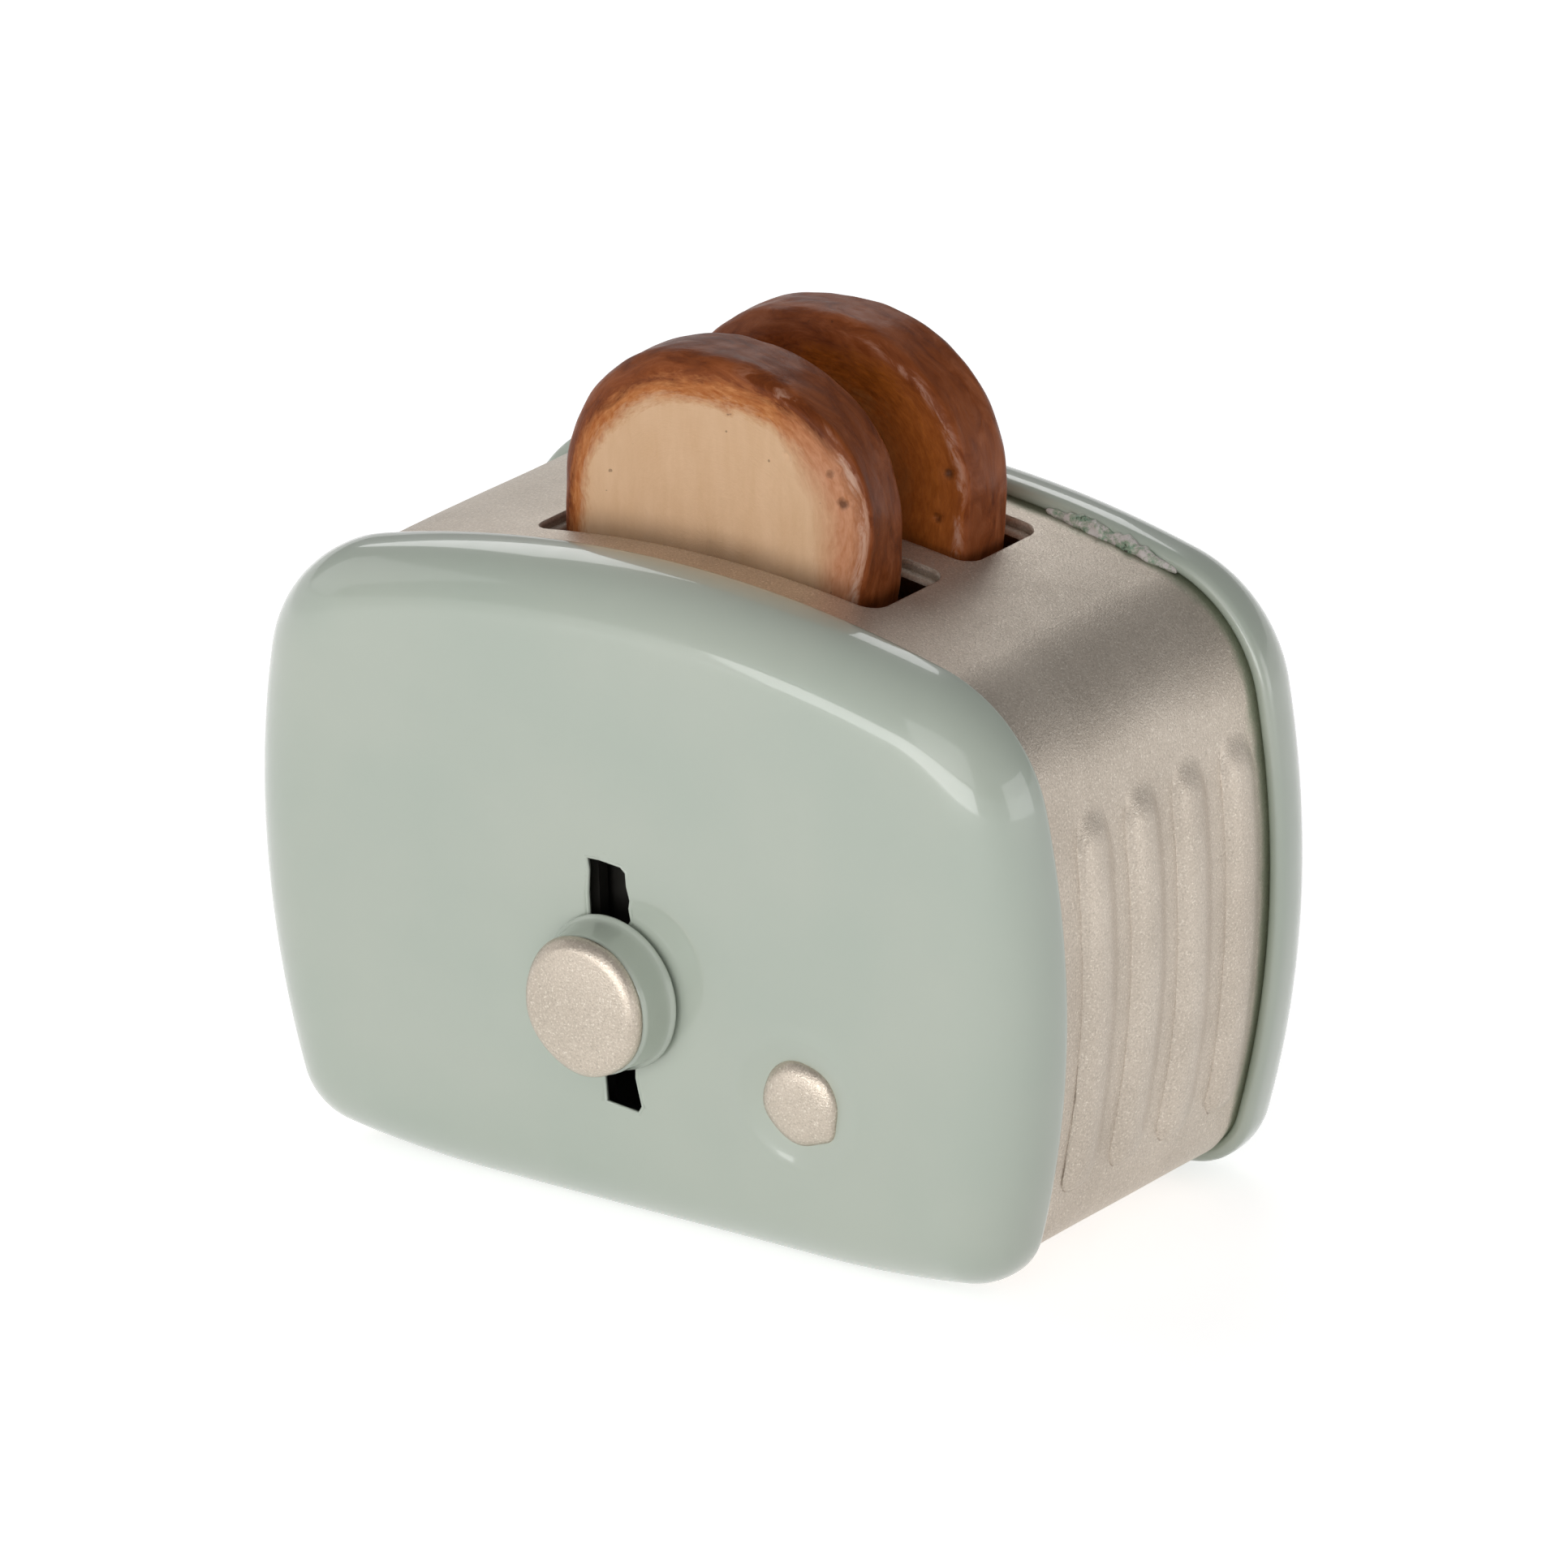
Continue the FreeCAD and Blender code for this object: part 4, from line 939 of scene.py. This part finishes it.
def build_solder_lump():
    """The lump of solder and paint squeezed out along the top of the back cover's rim."""
    rim_y = COVER_SPACING / 2 - COVER_DEPTH
    loops = []
    for index in range(LUMP_STEPS):
        share = index / (LUMP_STEPS - 1)
        x = LUMP_FROM + (LUMP_TO - LUMP_FROM) * share
        taper = math.sin(math.pi * share) ** 0.6
        radius = 0.08 + 0.58 * taper * (0.78 + wobble(x, 0, 0, 1.1, 0.6, 41.0))
        centre_y = rim_y - 0.10 + wobble(x, 0, 0, 1.5, 0.2, 31.0)
        centre_z = body_top(x) + 0.58
        ring = []
        for angle in np.linspace(0, 2 * math.pi, LUMP_SIDES, endpoint=False):
            uneven = 1 + wobble(x, math.cos(angle), math.sin(angle), 0.55, 0.45, 51.0)
            ring.append((x, centre_y + radius * uneven * math.cos(angle) * 0.8,
                         centre_z + radius * uneven * math.sin(angle)))
        loops.append(np.array(ring))
    vertices, faces = loft(loops)
    piece = new_piece("solder_lump", vertices, faces, lump_paint(), "casing")
    fix_normals(piece)


def lump_paint():
    """Green enamel broken by bare whitish solder."""
    n = Nodes("solder_lump_paint")
    patches = n.noise(1.3, 5.0, 0.75)
    tone = n.ramp(patches, [(0.34, srgb(84, 78, 70)), (0.41, srgb(132, 160, 136)),
                            (0.48, srgb(170, 176, 158)), (0.56, srgb(212, 204, 200))])
    return n.set(Base_Color=tone, Roughness=n.ramp(patches, [(0.3, 0.3), (0.7, 0.55)]),
                 Normal=n.bump(n.noise(3.0, 4.0), 0.8, 0.08))


# Scene

CAMERA_AZIMUTH = 35.01
CAMERA_ELEVATION = 20.71
CAMERA_DISTANCE = 889.4
CAMERA_ACROSS = 0.109
CAMERA_UP = 2.416
FOCAL_PIXELS = 20000.0
PHOTO_PIXELS = 1932.0
SENSOR = 36.0


def build_camera():
    """The camera at the photographed angle, turned with its up axis vertical in the picture."""
    azimuth = math.radians(CAMERA_AZIMUTH)
    elevation = math.radians(CAMERA_ELEVATION)
    back = Vector((math.sin(azimuth) * math.cos(elevation),
                   -math.cos(azimuth) * math.cos(elevation), math.sin(elevation)))
    right = Vector((math.cos(azimuth), math.sin(azimuth), 0))
    up = back.cross(right)
    middle = Vector((0, ORIGIN_Y, COVER["height"] / 2))
    place = middle + right * CAMERA_ACROSS + up * CAMERA_UP + back * CAMERA_DISTANCE
    lens = bpy.data.cameras.new("camera")
    lens.sensor_width = SENSOR
    lens.lens = FOCAL_PIXELS / PHOTO_PIXELS * SENSOR
    lens.clip_start = 0.05
    camera = bpy.data.objects.new("camera", lens)
    bpy.context.scene.collection.objects.link(camera)
    turn = Matrix((right, up, back)).transposed().to_4x4()
    camera.matrix_world = Matrix.Translation(place * MM) @ turn
    bpy.context.scene.camera = camera


def area_light(name, azimuth, elevation, distance, size, radiance):
    """A soft panel seen from the object at an azimuth and elevation, facing it."""
    lamp = bpy.data.lights.new(name, "AREA")
    lamp.shape = "RECTANGLE"
    lamp.size, lamp.size_y = size
    lamp.energy = math.pi * size[0] * size[1] * radiance
    holder = bpy.data.objects.new(name, lamp)
    bpy.context.scene.collection.objects.link(holder)
    turn = math.radians(azimuth)
    rise = math.radians(elevation)
    away = Vector((math.sin(turn) * math.cos(rise), -math.cos(turn) * math.cos(rise), math.sin(rise)))
    target = Vector((0, 0, COVER["height"] / 2 * MM))
    holder.location = target + away * distance
    holder.visible_camera = False
    holder.rotation_euler = (-away).to_track_quat("-Z", "Y").to_euler()


STUDIO_REACH = 3.0
STUDIO_BEND = 0.3
STUDIO_HEIGHT = 0.5
FLOOR_Z = -2e-5
FLOOR_GLOW = 0.62
WORLD_STRENGTH = 0.22


def build_floor():
    """A wide pale floor that curves up into a backdrop all round."""
    bend = [(STUDIO_REACH - STUDIO_BEND * (1 - math.sin(angle)), STUDIO_BEND * (1 - math.cos(angle)))
            for angle in np.linspace(0, math.pi / 2, 13)]
    profile = bend + [(STUDIO_REACH, STUDIO_HEIGHT)]
    around = np.linspace(0, 2 * math.pi, 97)[:-1]
    vertices = [(0, 0, FLOOR_Z)]
    vertices += [(radius * math.cos(a), radius * math.sin(a), FLOOR_Z + z)
                 for radius, z in profile for a in around]
    count = len(around)
    faces = [(0, 1 + i, 1 + (i + 1) % count) for i in range(count)]
    for row in range(len(profile) - 1):
        for i in range(count):
            first = 1 + row * count
            following = (i + 1) % count
            faces.append((first + i, first + count + i, first + count + following, first + following))
    mesh = bpy.data.meshes.new("floor")
    mesh.from_pydata(vertices, [], faces)
    floor = bpy.data.objects.new("floor", mesh)
    bpy.context.scene.collection.objects.link(floor)
    n = Nodes("floor")
    rays = n.tree.nodes.new("ShaderNodeLightPath")
    seen = n.math("MAXIMUM", rays.outputs["Is Camera Ray"], rays.outputs["Is Glossy Ray"])
    seen = n.math("MAXIMUM", seen, rays.outputs["Is Transmission Ray"])
    material = n.set(Base_Color=(0.93, 0.93, 0.93, 1), Roughness=0.9, Specular_IOR_Level=0.0,
                     Emission_Color=(1, 1, 1, 1), Emission_Strength=n.math("MULTIPLY", seen, FLOOR_GLOW))
    mesh.materials.append(material)


def build_world():
    """A dim even light from above the backdrop."""
    world = bpy.data.worlds.new("studio")
    bpy.context.scene.world = world
    world.use_nodes = True
    background = world.node_tree.nodes["Background"]
    background.inputs["Color"].default_value = (1, 1, 1, 1)
    background.inputs["Strength"].default_value = WORLD_STRENGTH
    bpy.context.scene.view_settings.view_transform = "Standard"


def build_lights():
    """Soft panels in front, on both sides and behind."""
    area_light("front", 5, 4, 0.36, (0.46, 0.115), 4.0)
    area_light("fill", 18, 28, 0.80, (0.70, 0.40), 1.2)
    area_light("right", 104, 9, 0.50, (0.40, 0.20), 1.7)
    area_light("left", -75, 25, 0.60, (0.40, 0.30), 0.8)
    area_light("rear_left", -138, 38, 0.60, (0.40, 0.24), 2.6)


def dress_cad_nodes():
    """Materials for the construction pieces that stay as they are."""
    # The darkened steel and the near-black solder here carry painted shade for the slot's inside and the
    # gaps at the rims.
    finishes = {
        "base_plate": TIN, "guide_bracket": SHADE_DARKENED_STEEL, "carriage": SHADE_DARKENED_STEEL, "front_tray": TIN,
        "rear_tray": TIN, "front_solder": GAP_SHADE_SOLDER, "rear_solder": GAP_SHADE_SOLDER, "left_post": STEEL,
        "right_post": STEEL, "post_clips": STEEL, "button_clip": STEEL, "friction_spring": SHADE_DARKENED_STEEL,
        "spring_rivet": STEEL, "tray_rivets": STEEL, "lever_stem": SHADE_DARKENED_STEEL, "left_bush": BRASS,
        "right_bush": BRASS,
    }
    for name, material in finishes.items():
        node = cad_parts[name]
        node.data.materials.clear()
        node.data.materials.append(material)


front_cover = build_cover("enamelled_front", True)
cut_lever_slot(front_cover)
front_cover.data.shade_smooth()
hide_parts("front_cover")
slot_paint()
back_cover = build_cover("enamelled_back", False)
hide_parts("back_cover")
build_body()
build_slot_lips()
build_knob()
build_button()
build_slice("front_toast", "front_slice", "front_bread", FRONT_TOAST, 2.0, 1.3, 1.5,
            FRONT_PITS, 0.95)
build_slice("rear_toast", "rear_slice", "rear_bread", REAR_TOAST_WITH_PAINTED_SHADE, 14.0, 1.6, 3.4,
            REAR_PITS, 0.2)
build_solder_lump()
dress_cad_nodes()
build_camera()
build_floor()
build_world()
build_lights()
